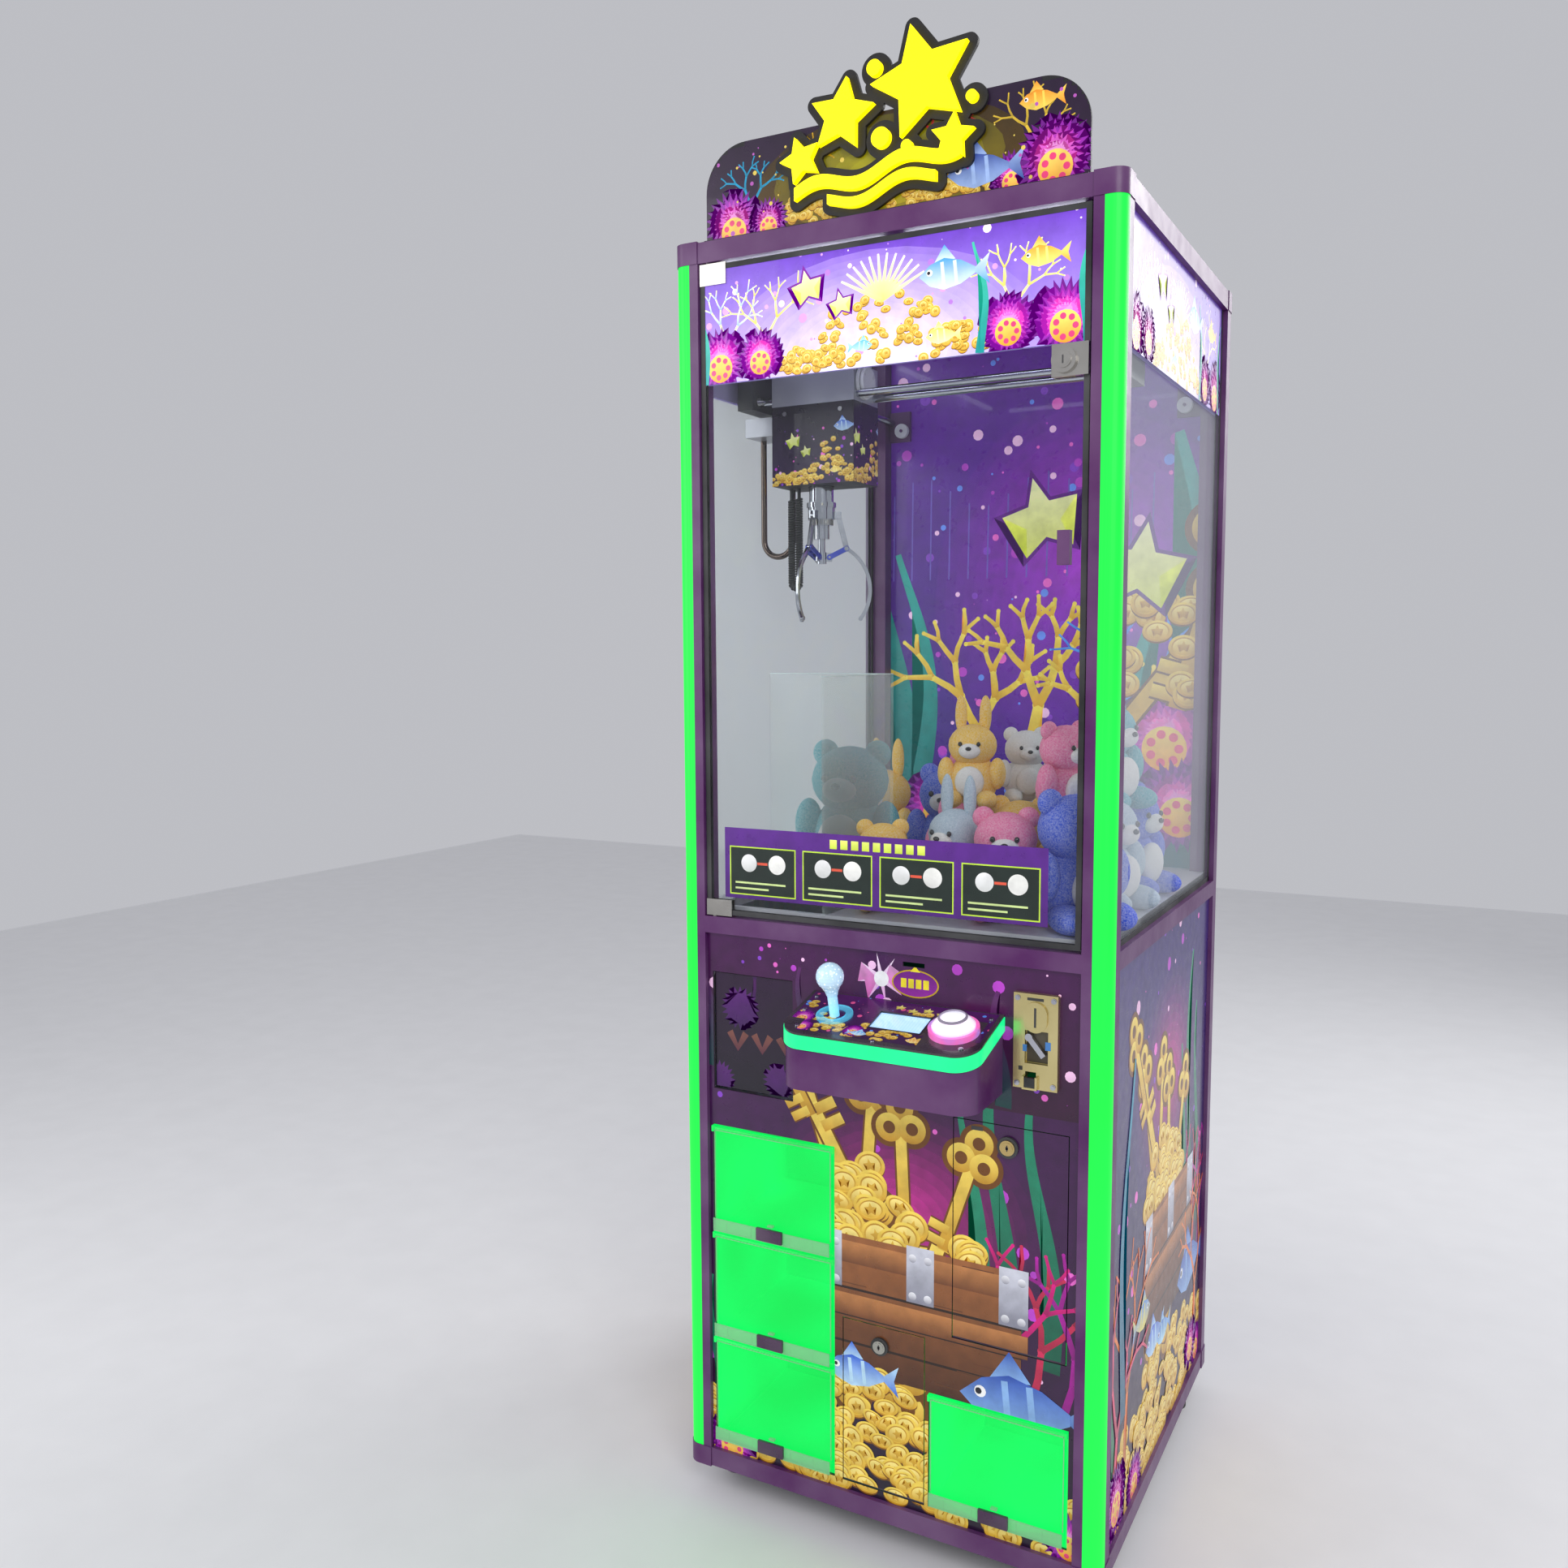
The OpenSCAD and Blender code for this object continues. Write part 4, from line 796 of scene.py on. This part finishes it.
lamp = Shader("lamp_white", (1, 1, 1), 0.4)
lamp.glow(lamp.mix((0.75, 0.8, 1.0, 1), (0.9, 0.92, 1.0, 1), lamp.noise(30)), 7.0)
bm = bmesh.new()
for x0, x1 in ((-0.29, -0.02), (0.02, 0.29)):
    add_box(bm, (x0, front + 0.045, rails_high.z - 0.043),
            (x1, front + 0.06, rails_high.z - 0.036))
for sx in (-1, 1):
    add_box(bm, (min(sx * 0.318, sx * 0.328), front + 0.1, rails_high.z - 0.043),
            (max(sx * 0.318, sx * 0.328), back - 0.1, rails_high.z - 0.036))
mesh_piece("chamber_lamps", bm, lamp, smooth=False)

# Lower cabinet, seldom seen: the chute, power unit and cash tray are folded from galvanised
# sheet, and the control board is green laminate.
galvanised = worn("galvanised", (0.42, 0.43, 0.46), 0.4, 0.9)
cell = galvanised.node("TexVoronoi", {"Vector": galvanised.place(), "Scale": 90.0}, out="Color")
galvanised.set(Base_Color=galvanised.mix((0.36, 0.37, 0.4, 1), cell, 0.08))
dress(galvanised, "chute_duct", "power_unit", "cash_box")
board_green = worn("board_green", (0.01, 0.12, 0.04), 0.4)
dress(board_green, "control_board")
power_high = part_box("power_unit")[1]
bm = bmesh.new()
add_box(bm, (-0.0185, power_high.y - 0.0005, 0.161), (0.0185, power_high.y + 0.002, 0.189), 0)
for x, z in ((-0.006, 0.171), (0.006, 0.171), (0, 0.180)):
    add_box(bm, (x - 0.001, power_high.y + 0.002, z - 0.003), (x + 0.001, power_high.y + 0.0035,
                                                              z + 0.003), 1)
mesh_piece("power_inlet", bm, [black_plastic, nickel], smooth=False)

# Vents and screws of the back panel: two blocks of black louvres, and steel screws in three
# columns.
bm = bmesh.new()
for row in range(9):
    for x in (-0.18, 0.06):
        z = 0.62 + row * 0.016
        add_box(bm, (x, wall_high.y - 0.0001, z), (x + 0.12, wall_high.y + 0.0012, z + 0.007))
mesh_piece("rear_vents", bm, black_plastic, bevel=0.0004)
bm = bmesh.new()
for x in (-0.295, 0.0, 0.295):
    for z in (0.11, 0.5, 0.94, 1.02, 1.5, 1.97):
        add_rod(bm, (x, wall_high.y, z), 0.005, 0.0018, top=0.003)
mesh_piece("rear_screws", bm, bolt_steel)

# Gantry: chromed rails and rods, and a grey tin cover over the trolley. The claw is chromed too,
# with blue links.
chrome = worn("chrome", (0.55, 0.56, 0.63), 0.13, 1.0, fade=0.25, depth=0.00003)
tin = worn("grey_tin", (0.45, 0.46, 0.52), 0.35, 0.6)
dress(chrome, "depth_rails", "bridge_rods", "claw_housing", "claw_plunger", "claw_arm_a",
      "claw_arm_b", "claw_arm_c", "reject_lever", "dome_screws")
dress(tin, "trolley_body", "winch_drum", "joystick_gimbal")
white_plastic = worn("white_plastic", (0.75, 0.75, 0.78), 0.3)
dress(white_plastic, "idler_pulley_left", "idler_pulley_right")
link_blue = worn("link_blue", (0.06, 0.09, 0.55), 0.2, 0.7)
dress(link_blue, "claw_link_a", "claw_link_b", "claw_link_c")
bronze = worn("bronze_tube", (0.11, 0.075, 0.06), 0.18, 0.9)
dress(bronze, "bent_tube")
dress(black_rubber, "claw_cord")

# Crane box: a folded tin box round the winch, screwed at the top and covered in black film
# printed with coins.
box_low, box_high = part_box("crane_box")
dress(sign_black, "crane_box")
crate = Print()
rng = random.Random(2)
crate.block((-0.08, 0.08), (0, 0.128), (0.03, 0.01, 0.06), (0.008, 0.004, 0.012))
crate.glitter((-0.07, 0.07), (0.0, 0.09), 60, 0.004, sparkle, rng)
for _ in range(110):
    u = rng.uniform(-0.075, 0.075)
    v = rng.uniform(0, 0.02) + rng.uniform(0, 0.06) * math.exp(-((u - 0.03) / 0.025) ** 2)
    crate.coin(u, v, 0.0048, rng.uniform(0.5, 1))
for u, v, r in ((-0.035, 0.07, 0.014), (-0.012, 0.052, 0.01)):
    crate.star(u, v, r, (0.65, 0.75, 0.1), (1, 1, 0.5), turn=0.2)
crate.fish(0.055, 0.088, 0.017, (0.02, 0.1, 0.6), (0.5, 0.7, 0.9), -1)
crate.fish(0.04, 0.02, 0.009, (0.9, 0.6, 0.05), (1, 0.85, 0.3), -1)
cx, cy = (box_low.x + box_high.x) / 2, (box_low.y + box_high.y) / 2
wide, deep = (box_high.x - box_low.x) / 2, (box_high.y - box_low.y) / 2
tile_v = (0.0, box_high.z - box_low.z)
# The crane box is not lit: the glow of its print is painted light.
crate_film_painted_glow = film("crate_film_painted_glow", 0.12)
for name, half_side, at, across in (
        ("front", wide, (cx, box_low.y - 0.0002, box_low.z), (1, 0, 0)),
        ("right", deep, (box_high.x + 0.0002, cy, box_low.z), (0, 1, 0)),
        ("back", wide, (cx, box_high.y + 0.0002, box_low.z), (-1, 0, 0)),
        ("left", deep, (box_low.x - 0.0002, cy, box_low.z), (0, -1, 0))):
    crate.lay(f"crane_print_{name}", [(-half_side, half_side, *tile_v)], at, across, crate_film_painted_glow,
              "trolley")
bm = bmesh.new()
for dx in (-0.05, 0.05):
    add_rod(bm, (cx + dx, box_low.y - 0.002, box_high.z - 0.012), 0.0035, 0.002)
mesh_piece("crane_screws", bm, bolt_steel, "trolley")

# Drive wheels and collars: white moulded wheels beside the trolley, and nickel collars on the
# carriages at the rods' ends.
bm = bmesh.new()
cover_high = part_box("trolley_body")[1]
wheel_x = box_high.x + 0.001
for i in range(2):
    add_rod(bm, (wheel_x + i * 0.0065, cy - 0.014, cover_high.z - 0.029), 0.026 - 0.003 * i,
            0.0055, "X", sides=40)
mesh_piece("drive_wheels", bm, white_plastic, "trolley")
bm = bmesh.new()
for sx in (-1, 1):
    for dy in (0.02, 0.112):
        add_rod(bm, (sx * 0.2862 - (0.002 if sx > 0 else 0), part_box("bridge_carriages")[0].y + dy,
                     1.815), 0.008, 0.002, "X")
mesh_piece("rod_collars", bm, nickel, "bridge")


# Curly cord: a black coiled flex that hangs from the crane box in a long loop, with a straight
# tail at each end.
def helix_tube(name, path, coil_r, wire_r, turns, shader, body, sides=8, steps_per_turn=14):
    """A coil wound round a path of points."""
    lengths = [0.0]
    for a, b in zip(path, path[1:]):
        lengths.append(lengths[-1] + (b - a).length)
    total = lengths[-1]

    def along(t):
        want = t * total
        for i in range(len(path) - 1):
            if want <= lengths[i + 1] or i == len(path) - 2:
                share = (want - lengths[i]) / (lengths[i + 1] - lengths[i])
                return path[i].lerp(path[i + 1], share), (path[i + 1] - path[i]).normalized()

    bm = bmesh.new()
    rings = []
    count = int(turns * steps_per_turn)
    side = Vector((0, 1, 0))
    centres = []
    for k in range(count + 1):
        point, tangent = along(k / count)
        other = tangent.cross(side).normalized()
        a = 2 * math.pi * k / steps_per_turn
        centres.append(point + (side * math.cos(a) + other * math.sin(a)) * coil_r)
    for k, centre in enumerate(centres):
        ahead = (centres[min(k + 1, count)] - centres[max(k - 1, 0)]).normalized()
        u = ahead.orthogonal().normalized() if k == 0 else (u - ahead * u.dot(ahead)).normalized()
        w = ahead.cross(u)
        rings.append([bm.verts.new(centre + (u * math.cos(2 * math.pi * j / sides)
                                             + w * math.sin(2 * math.pi * j / sides)) * wire_r)
                      for j in range(sides)])
    for a, b in zip(rings, rings[1:]):
        for j in range(sides):
            bm.faces.new((a[j], a[(j + 1) % sides], b[(j + 1) % sides], b[j]))
    bm.faces.new(rings[0][::-1])
    bm.faces.new(rings[-1])
    return mesh_piece(name, bm, shader, body)


cord_low, cord_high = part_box("coiled_cord")
radius = 0.0065
left_x, right_x, cord_y = cord_low.x + radius, cord_high.x - radius, (cord_low.y + cord_high.y) / 2
bend = (right_x - left_x) / 2
bend_z = cord_low.z + radius + bend
route = [Vector((left_x, cord_y, cord_high.z - 0.018)), Vector((left_x, cord_y, bend_z))]
for i in range(1, 8):
    a = math.pi + math.pi * i / 8
    route.append(Vector(((left_x + right_x) / 2 + bend * math.cos(a), cord_y,
                         bend_z + bend * math.sin(a))))
route += [Vector((right_x, cord_y, bend_z)), Vector((right_x, cord_y, cord_high.z - 0.016))]
curly = helix_tube("curly_cord", route, radius - 0.0019, 0.0019, 74, black_rubber, "trolley")
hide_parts("coiled_cord")
bm = bmesh.new()
for x in (left_x, right_x):
    add_rod(bm, (x, cord_y, cord_high.z - 0.02), 0.0028, 0.0205, "Z")
mesh_piece("cord_tails", bm, black_rubber, "trolley")

# Claw details: a knurled nickel collar round the turned housing, and three small screw heads
# above it. All are metal, in one piece.
claw_x, claw_y = -0.193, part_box("claw_cord")[0].y + 0.0015
bm = bmesh.new()
knurl_r, tooth = 0.0186, 0.0007
for k in range(36):
    a = 2 * math.pi * k / 36
    x, y = claw_x + knurl_r * math.cos(a), claw_y + knurl_r * math.sin(a)
    add_box(bm, (x - tooth, y - tooth, 1.6145), (x + tooth, y + tooth, 1.6235))
for k in range(3):
    a = math.radians(-60 + 120 * k)
    add_rod(bm, (claw_x + 0.0235 * math.cos(a), claw_y + 0.0235 * math.sin(a) - 0.001, 1.647),
            0.0022, 0.002)
mesh_piece("claw_knurl", bm, nickel, "claw")

# Prize boxes: moulded green boxes lit from inside, behind clear drop-down doors. Each door has
# a ribbed tray along its foot and a purple latch.
box_green = Shader("box_green", (0.0, 0.12, 0.01), 0.4)
fade = box_green.spread(box_green.noise(5, 1), 0.35, 0.7)
box_green.set(Emission_Color=box_green.mix((0.0, 0.78, 0.09, 1), (0.0, 1.0, 0.14, 1), fade),
              Emission_Strength=0.9)
dress(box_green, "prize_boxes")
# Painted light: the doors' faint green and the ribbed strips' green tint and glow stand for the
# light of the lit boxes behind the clear plastic.
door_clear = Shader("door_clear", (0.2, 0.8, 0.3), 0.06, alpha=0.05)
door_clear.set(Roughness=0.05 + door_clear.noise(18) * 0.05)
clear_strip_painted_glow = Shader("clear_strip_painted_glow", (0.22, 0.42, 0.26), 0.15, alpha=0.72)
clear_strip_painted_glow.set(Roughness=0.1 + clear_strip_painted_glow.noise(60) * 0.12)
clear_strip_painted_glow.glow(clear_strip_painted_glow.mix((0.08, 0.55, 0.14, 1), (0.15, 0.7, 0.22, 1),
                                 clear_strip_painted_glow.noise(25)), 0.3)
latch_purple = worn("latch_purple", (0.05, 0.004, 0.06), 0.3, coat=0.3)
dress(door_clear, "prize_door_top", "prize_door_middle", "prize_door_bottom", "prize_door_right")
for body, name in (("prize_door_1", "prize_door_top"), ("prize_door_2", "prize_door_middle"),
                   ("prize_door_3", "prize_door_bottom"), ("prize_door_4", "prize_door_right")):
    low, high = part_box(name)
    middle = (low.x + high.x) / 2
    bm = bmesh.new()
    add_box(bm, (middle - 0.0234, low.y - 0.0004, low.z + 0.0036),
            (middle + 0.0234, low.y + 0.0055, low.z + 0.0244))
    mesh_piece(f"{name}_latch", bm, latch_purple, body, bevel=0.0012)
    bm = bmesh.new()
    plate_y = front - 0.003
    pane_y, lip = front + 0.003, low.z + 0.0222
    for x0, x1, y0, z0, z1 in (
            (low.x + 0.001, high.x - 0.001, plate_y, low.z + 0.0205, low.z + 0.022),
            (low.x + 0.001, high.x - 0.001, plate_y, low.z + 0.0005, low.z + 0.0022),
            (low.x + 0.001, high.x - 0.001, pane_y, high.z - 0.0075, high.z - 0.006),
            (low.x + 0.0002, low.x + 0.0016, plate_y, low.z, lip),
            (high.x - 0.0016, high.x - 0.0002, plate_y, low.z, lip),
            (low.x + 0.0002, low.x + 0.0016, pane_y, lip, high.z - 0.006),
            (high.x - 0.0016, high.x - 0.0002, pane_y, lip, high.z - 0.006)):
        add_box(bm, (x0, y0 - 0.0003, z0), (x1, y0 + 0.001, z1))
    add_box(bm, (low.x + 0.0016, plate_y - 0.0002, low.z + 0.0022),
            (high.x - 0.0016, plate_y, low.z + 0.0205))
    for x in (low.x + 0.025, middle - 0.035, middle + 0.035, high.x - 0.03):
        add_box(bm, (x, plate_y - 0.0004, low.z + 0.004), (x + 0.0012, plate_y, low.z + 0.019))
    add_box(bm, (middle - 0.005, plate_y - 0.0004, low.z + 0.0265),
            (middle + 0.005, front + 0.0028, low.z + 0.0295))
    mesh_piece(f"{name}_ribs", bm, clear_strip_painted_glow, body, bevel=0.0002)

# Console: a folded purple steel box with a printed deck on top, which carries the screen, the
# lit stick and the push button.
dress(purple_paint, "console_box")
plate_black = worn("plate_black", (0.02, 0.01, 0.02), 0.28, coat=0.5)
dress(plate_black, "console_deck")
slope = math.radians(14)
deck_at = Matrix.Translation((0.040, panel_low.y, 0.884)) @ Matrix.Rotation(slope, 4, "X")


def on_deck(bm):
    bmesh.ops.transform(bm, matrix=deck_at, verts=bm.verts)
    return bm


deck_art = Print()
rng = random.Random(14)
deck_art.block((-0.15, 0.15), (-0.13, 0.0), (0.03, 0.01, 0.05), (0.08, 0.01, 0.12))
deck_art.glitter((-0.15, 0.15), (-0.12, 0), 80, 0.004, [(0.8, 0.1, 0.3), (0.1, 0.3, 0.9)], rng)
for _ in range(170):
    u, v = rng.uniform(-0.145, 0.15), rng.uniform(-0.12, -0.02)
    if v < -0.055 + 0.03 * math.sin(u * 30):
        deck_art.coin(u, v, 0.0065, rng.uniform(0.6, 1))
for u, v, r in ((-0.132, -0.08, 0.02), (-0.12, -0.105, 0.016), (-0.04, -0.1, 0.017)):
    deck_art.fluff(u, v, r, rng)
deck_art.fish(-0.03, -0.105, 0.013, (0.05, 0.4, 0.9), (0.7, 0.9, 1), 1)
deck_art.fish(0.055, -0.105, 0.012, (0.95, 0.4, 0.05), (1, 0.8, 0.3), -1)
for i in range(5):
    deck_art.star(i * 0.022, -0.018 - (i % 2) * 0.006, 0.008, (0.7, 0.6, 0.05),
                  (1, 0.9, 0.3))
# The console deck is not lit: the glow of its print is painted light.
piece = deck_art.lay("deck_print", [(-0.148, -0.024, -0.086, -0.002),
                                    (-0.024, 0.058, -0.036, -0.002),
                                    (0.058, 0.148, -0.028, -0.002), (0.14, 0.148, -0.086, -0.028),
                                    (-0.125, 0.064, -0.118, -0.086)],
                     (0, 0, 0), (1, 0, 0), film("deck_film_painted_glow", 0.12))
flat = Matrix(((1, 0, 0, 0), (0, 0, 1, 0), (0, -1, 0, 0.0031), (0, 0, 0, 1)))
piece.data.transform(deck_at @ flat)

screen = Shader("screen", (0.3, 0.5, 0.9), 0.1, coat=0.5)
row = screen.node("TexWave", {"Vector": screen.place(), "Scale": 70.0}, bands_direction="X")
screen.glow(screen.mix((0.38, 0.6, 0.95, 1), (0.45, 0.66, 1.0, 1), row), 0.9)
dress(screen, "screen_module")
bm = bmesh.new()
for u0, u1, v0, v1 in ((-0.024, 0.058, -0.0855, -0.0845), (-0.024, 0.058, -0.0375, -0.0365),
                       (-0.024, -0.023, -0.0855, -0.0365), (0.057, 0.058, -0.0855, -0.0365)):
    add_box(bm, (u0, v0, 0.0028), (u1, v1, 0.0042))
mesh_piece("screen_bezel", on_deck(bm), black_plastic, smooth=False)

clear_base = Shader("lit_clear_base", (0.2, 0.75, 1.0), 0.08, alpha=0.45)
clear_base.glow(clear_base.mix((0.0, 0.45, 0.9, 1), (0.1, 0.8, 1.0, 1),
                               clear_base.noise(60)), 0.45)
dress(clear_base, "joystick_base")
stick_clear = Shader("lit_stick", (0.6, 0.85, 1.0), 0.06, coat=0.6)
height = stick_clear.spread(stick_clear.axis("Z"), 0.885, 0.915)
bubbles = stick_clear.node("TexVoronoi", {"Vector": stick_clear.place(), "Scale": 170.0})
dots = stick_clear.spread(bubbles, 0.28, 0.2)
ball = stick_clear.mix((0.16, 0.22, 0.3, 1), (0.9, 0.97, 1.0, 1), dots)
stick_clear.glow(stick_clear.mix((0.02, 0.55, 1.0, 1), ball, height), 0.7)
stick_clear.bump(dots, 0.0006, 0.6)
dress(stick_clear, "joystick_stick")

dome_white = Shader("lit_dome", (0.9, 0.88, 0.92), 0.12, coat=0.8)
dome_low, dome_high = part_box("button_dome")
up = dome_white.spread(dome_white.axis("Z"), dome_low.z + 0.018, dome_high.z)
dome_white.glow(dome_white.mix((0.95, 0.25, 0.6, 1), (0.85, 0.88, 1.0, 1), up), 0.7)
dress(dome_white, "button_dome")
ring_pink = Shader("lit_ring", (0.7, 0.15, 0.45), 0.15, coat=0.5)
angle = ring_pink.node("TexNoise", {"Vector": ring_pink.place(), "Scale": 26.0})
ring_pink.glow(ring_pink.mix((0.1, 0.3, 0.95, 1), (1.0, 0.15, 0.5, 1),
                             ring_pink.spread(angle, 0.4, 0.6)), 0.55)
dress(ring_pink, "button_ring")
bm = bmesh.new()
dome_u, dome_v, mark_z, sides = 0.102, -0.065, 0.0262, 64
rings = [[bm.verts.new((dome_u + q * math.cos(2 * math.pi * i / sides),
                        dome_v + q * math.sin(2 * math.pi * i / sides), z))
          for i in range(sides)] for q, z in ((0.0185, mark_z + 0.0027), (0.0215, mark_z + 0.0008),
                                              (0.0215, mark_z), (0.0185, mark_z))]
for a, b in zip(rings, rings[1:] + rings[:1]):
    for i in range(sides):
        bm.faces.new((a[i], a[(i + 1) % sides], b[(i + 1) % sides], b[i]))
dome_mark = worn("dome_mark", (0.35, 0.3, 0.4), 0.3)
mesh_piece("dome_ring", on_deck(bm), dome_mark, "button")

# Coin acceptor: a bright yellow-chrome plate let into the front panel, with dark marks at its
# slot, window and cup: painted shade where these openings are dark.
gold_chrome = worn("gold_chrome", (0.72, 0.6, 0.25), 0.2, 0.85, coat=0.3)
dress(gold_chrome, "coin_acceptor")
acceptor_y = front - 0.002
bm = bmesh.new()
# Painted shade: black in the coin slot and the cup, dark brown behind the window.
add_box(bm, (0.2425, acceptor_y - 0.0045, 0.878), (0.2455, acceptor_y + 0.001, 0.906), 0)
add_box(bm, (0.2295, acceptor_y - 0.0064, 0.7905), (0.2445, acceptor_y - 0.0061, 0.8045), 0)
add_box(bm, (0.229, front + 0.0046, 0.8245), (0.2615, front + 0.0049, 0.8715), 1)
for x, z, w, h, slot in ((0.262, 0.852, 0.004, 0.006, 2), (0.228, 0.846, 0.003, 0.005, 2),
                         (0.243, 0.9175, 0.012, 0.002, 0), (0.222, 0.816, 0.003, 0.003, 0)):
    add_box(bm, (x - w, acceptor_y - 0.0003, z - h), (x + w, acceptor_y - 0.0001, z + h), slot)
coin_window_painted_shade = worn("coin_window_painted_shade", (0.08, 0.06, 0.03), 0.4, 0.5)
coin_blue = worn("coin_blue", (0.02, 0.2, 0.6), 0.35)
mesh_piece("coin_plate_marks", bm, [black_plastic, coin_window_painted_shade, coin_blue], smooth=False)

# Soft toys: seated plush animals without any known likeness, in short pile fabric, loose on the
# deck and on each other.
def plush(name, colour):
    made = Shader(name, colour, 0.9)
    tuft = made.noise(420, 3)
    pale = tuple(c + (1 - c) * 0.35 for c in colour)
    made.set(Base_Color=made.mix((*colour, 1), (*pale, 1), made.spread(tuft, 0.35, 0.75)))
    return made.bump(tuft, 0.0015, 0.8)


plushes = {name: plush("plush_" + name, colour) for name, colour in (
    ("teal", (0.02, 0.35, 0.42)), ("pink", (0.8, 0.16, 0.35)), ("blue", (0.03, 0.09, 0.65)),
    ("yellow", (0.85, 0.5, 0.04)), ("grey", (0.4, 0.5, 0.6)), ("white", (0.75, 0.72, 0.7)))}
eye_black = worn("eye_black", (0.005, 0.005, 0.006), 0.1)


def ball(bm, at, size, slot=0, detail=3):
    made = bmesh.ops.create_icosphere(bm, subdivisions=detail, radius=1)["verts"]
    bmesh.ops.scale(bm, vec=size, verts=made)
    bmesh.ops.translate(bm, vec=at, verts=made)
    for face in {f for v in made for f in v.link_faces}:
        face.material_index = slot


def toy(index, x, y, size, tone, turn, tier=0.0, ears="round"):
    """A seated animal: body, head, muzzle, ears, arms and legs."""
    bm = bmesh.new()
    ball(bm, (0, 0, 0.42), (0.42, 0.38, 0.42))
    ball(bm, (0, -0.05, 1.0), (0.40, 0.36, 0.35))
    ball(bm, (0, -0.36, 0.93), (0.18, 0.12, 0.13), 1)
    ball(bm, (0, -0.35, 0.42), (0.24, 0.12, 0.26), 1)
    for s in (-1, 1):
        if ears == "long":
            ball(bm, (s * 0.2, 0, 1.5), (0.1, 0.07, 0.32))
        else:
            ball(bm, (s * 0.28, 0, 1.27), (0.14, 0.09, 0.14))
        ball(bm, (s * 0.42, -0.14, 0.55), (0.14, 0.16, 0.26))
        ball(bm, (s * 0.28, -0.34, 0.14), (0.17, 0.28, 0.15))
        ball(bm, (s * 0.15, -0.39, 1.04), (0.035, 0.03, 0.04), 2, 2)
    ball(bm, (0, -0.48, 0.97), (0.05, 0.03, 0.035), 2, 2)
    matrix = (Matrix.Translation((x, y, deck_high.z)) @ Matrix.Rotation(turn, 4, "Z")
              @ Matrix.Scale(size, 4))
    bmesh.ops.transform(bm, matrix=matrix, verts=bm.verts)
    lowest = min(v.co.z for v in bm.verts)
    bmesh.ops.translate(bm, vec=(0, 0, deck_high.z + tier - lowest), verts=bm.verts)
    piece = mesh_piece(f"toy_{index}", bm, [plushes[tone], plushes["white"], eye_black])


# Each toy's x, y, size, colour and turn, and how far it sits above the deck
crowd = [(-0.22, 0.05, 0.175, "teal", 0.1), (-0.05, -0.19, 0.10, "yellow", 0.5),
         (0.05, -0.12, 0.115, "grey", -0.3), (0.15, -0.18, 0.12, "pink", 0.3),
         (0.26, -0.20, 0.145, "blue", 0.9), (0.26, -0.04, 0.13, "grey", 1.2),
         (0.26, 0.11, 0.13, "blue", 1.3), (0.12, -0.02, 0.12, "yellow", 0.2),
         (0.0, 0.06, 0.13, "pink", 0.0), (-0.09, 0.2, 0.14, "blue", 0.1),
         (0.11, 0.12, 0.115, "white", 0.4), (-0.25, 0.27, 0.13, "yellow", -0.2),
         (0.22, -0.12, 0.105, "pink", 1.0, 0.15), (0.24, 0.03, 0.125, "teal", 1.2, 0.15),
         (0.04, -0.03, 0.10, "yellow", 0.2, 0.15), (0.1, 0.06, 0.09, "white", 0.5, 0.15)]
for i, item in enumerate(crowd):
    toy(i, *item, ears="long" if i % 3 == 2 else "round")

# Studio: a pale floor under an even sky, with a large soft key, a fill and a rim light. The
# camera is the one solved from the photo.
floor_shader = worn("studio_floor", (0.82, 0.82, 0.83), 0.6, fade=0.03)
bm = bmesh.new()
add_box(bm, (-6, -6, -0.02), (6, 6, 0))
floor = mesh_piece("studio_floor", bm, floor_shader, smooth=False)
world = bpy.data.worlds.new("studio") if not bpy.context.scene.world else bpy.context.scene.world
bpy.context.scene.world = world
world.use_nodes = True
world.node_tree.nodes["Background"].inputs[0].default_value = (0.93, 0.94, 1.0, 1)
world.node_tree.nodes["Background"].inputs[1].default_value = 0.55
for name, at, aim, power, size in (("key", (2.2, -3.0, 3.2), (0, 0, 1.1), 55, 2.0),
                                   ("fill", (-2.6, -2.4, 2.0), (0, 0, 1.0), 40, 2.2),
                                   ("rim", (1.8, 2.6, 2.8), (0, 0, 1.2), 50, 1.5)):
    light = bpy.data.lights.new(name, "AREA")
    light.energy, light.size = power, size
    holder = bpy.data.objects.new(name, light)
    facing = (Vector(aim) - Vector(at)).to_track_quat("-Z", "Y")
    holder.matrix_world = Matrix.Translation(at) @ facing.to_matrix().to_4x4()
    bpy.context.scene.collection.objects.link(holder)
lens = bpy.data.cameras.new("camera")
lens.sensor_width, lens.lens = 36.0, 30.56
camera = bpy.data.objects.new("camera", lens)
yaw, pitch, roll = math.radians(28.72), math.radians(-5.62), math.radians(-0.34)
camera.matrix_world = (Matrix.Translation((0.8173, -2.0971, 1.4066))
                       @ Matrix.Rotation(yaw, 4, "Z")
                       @ Matrix.Rotation(math.pi / 2 + pitch, 4, "X")
                       @ Matrix.Rotation(roll, 4, "Z"))
bpy.context.scene.collection.objects.link(camera)
bpy.context.scene.camera = camera

bpy.context.scene.view_settings.view_transform = "Standard"
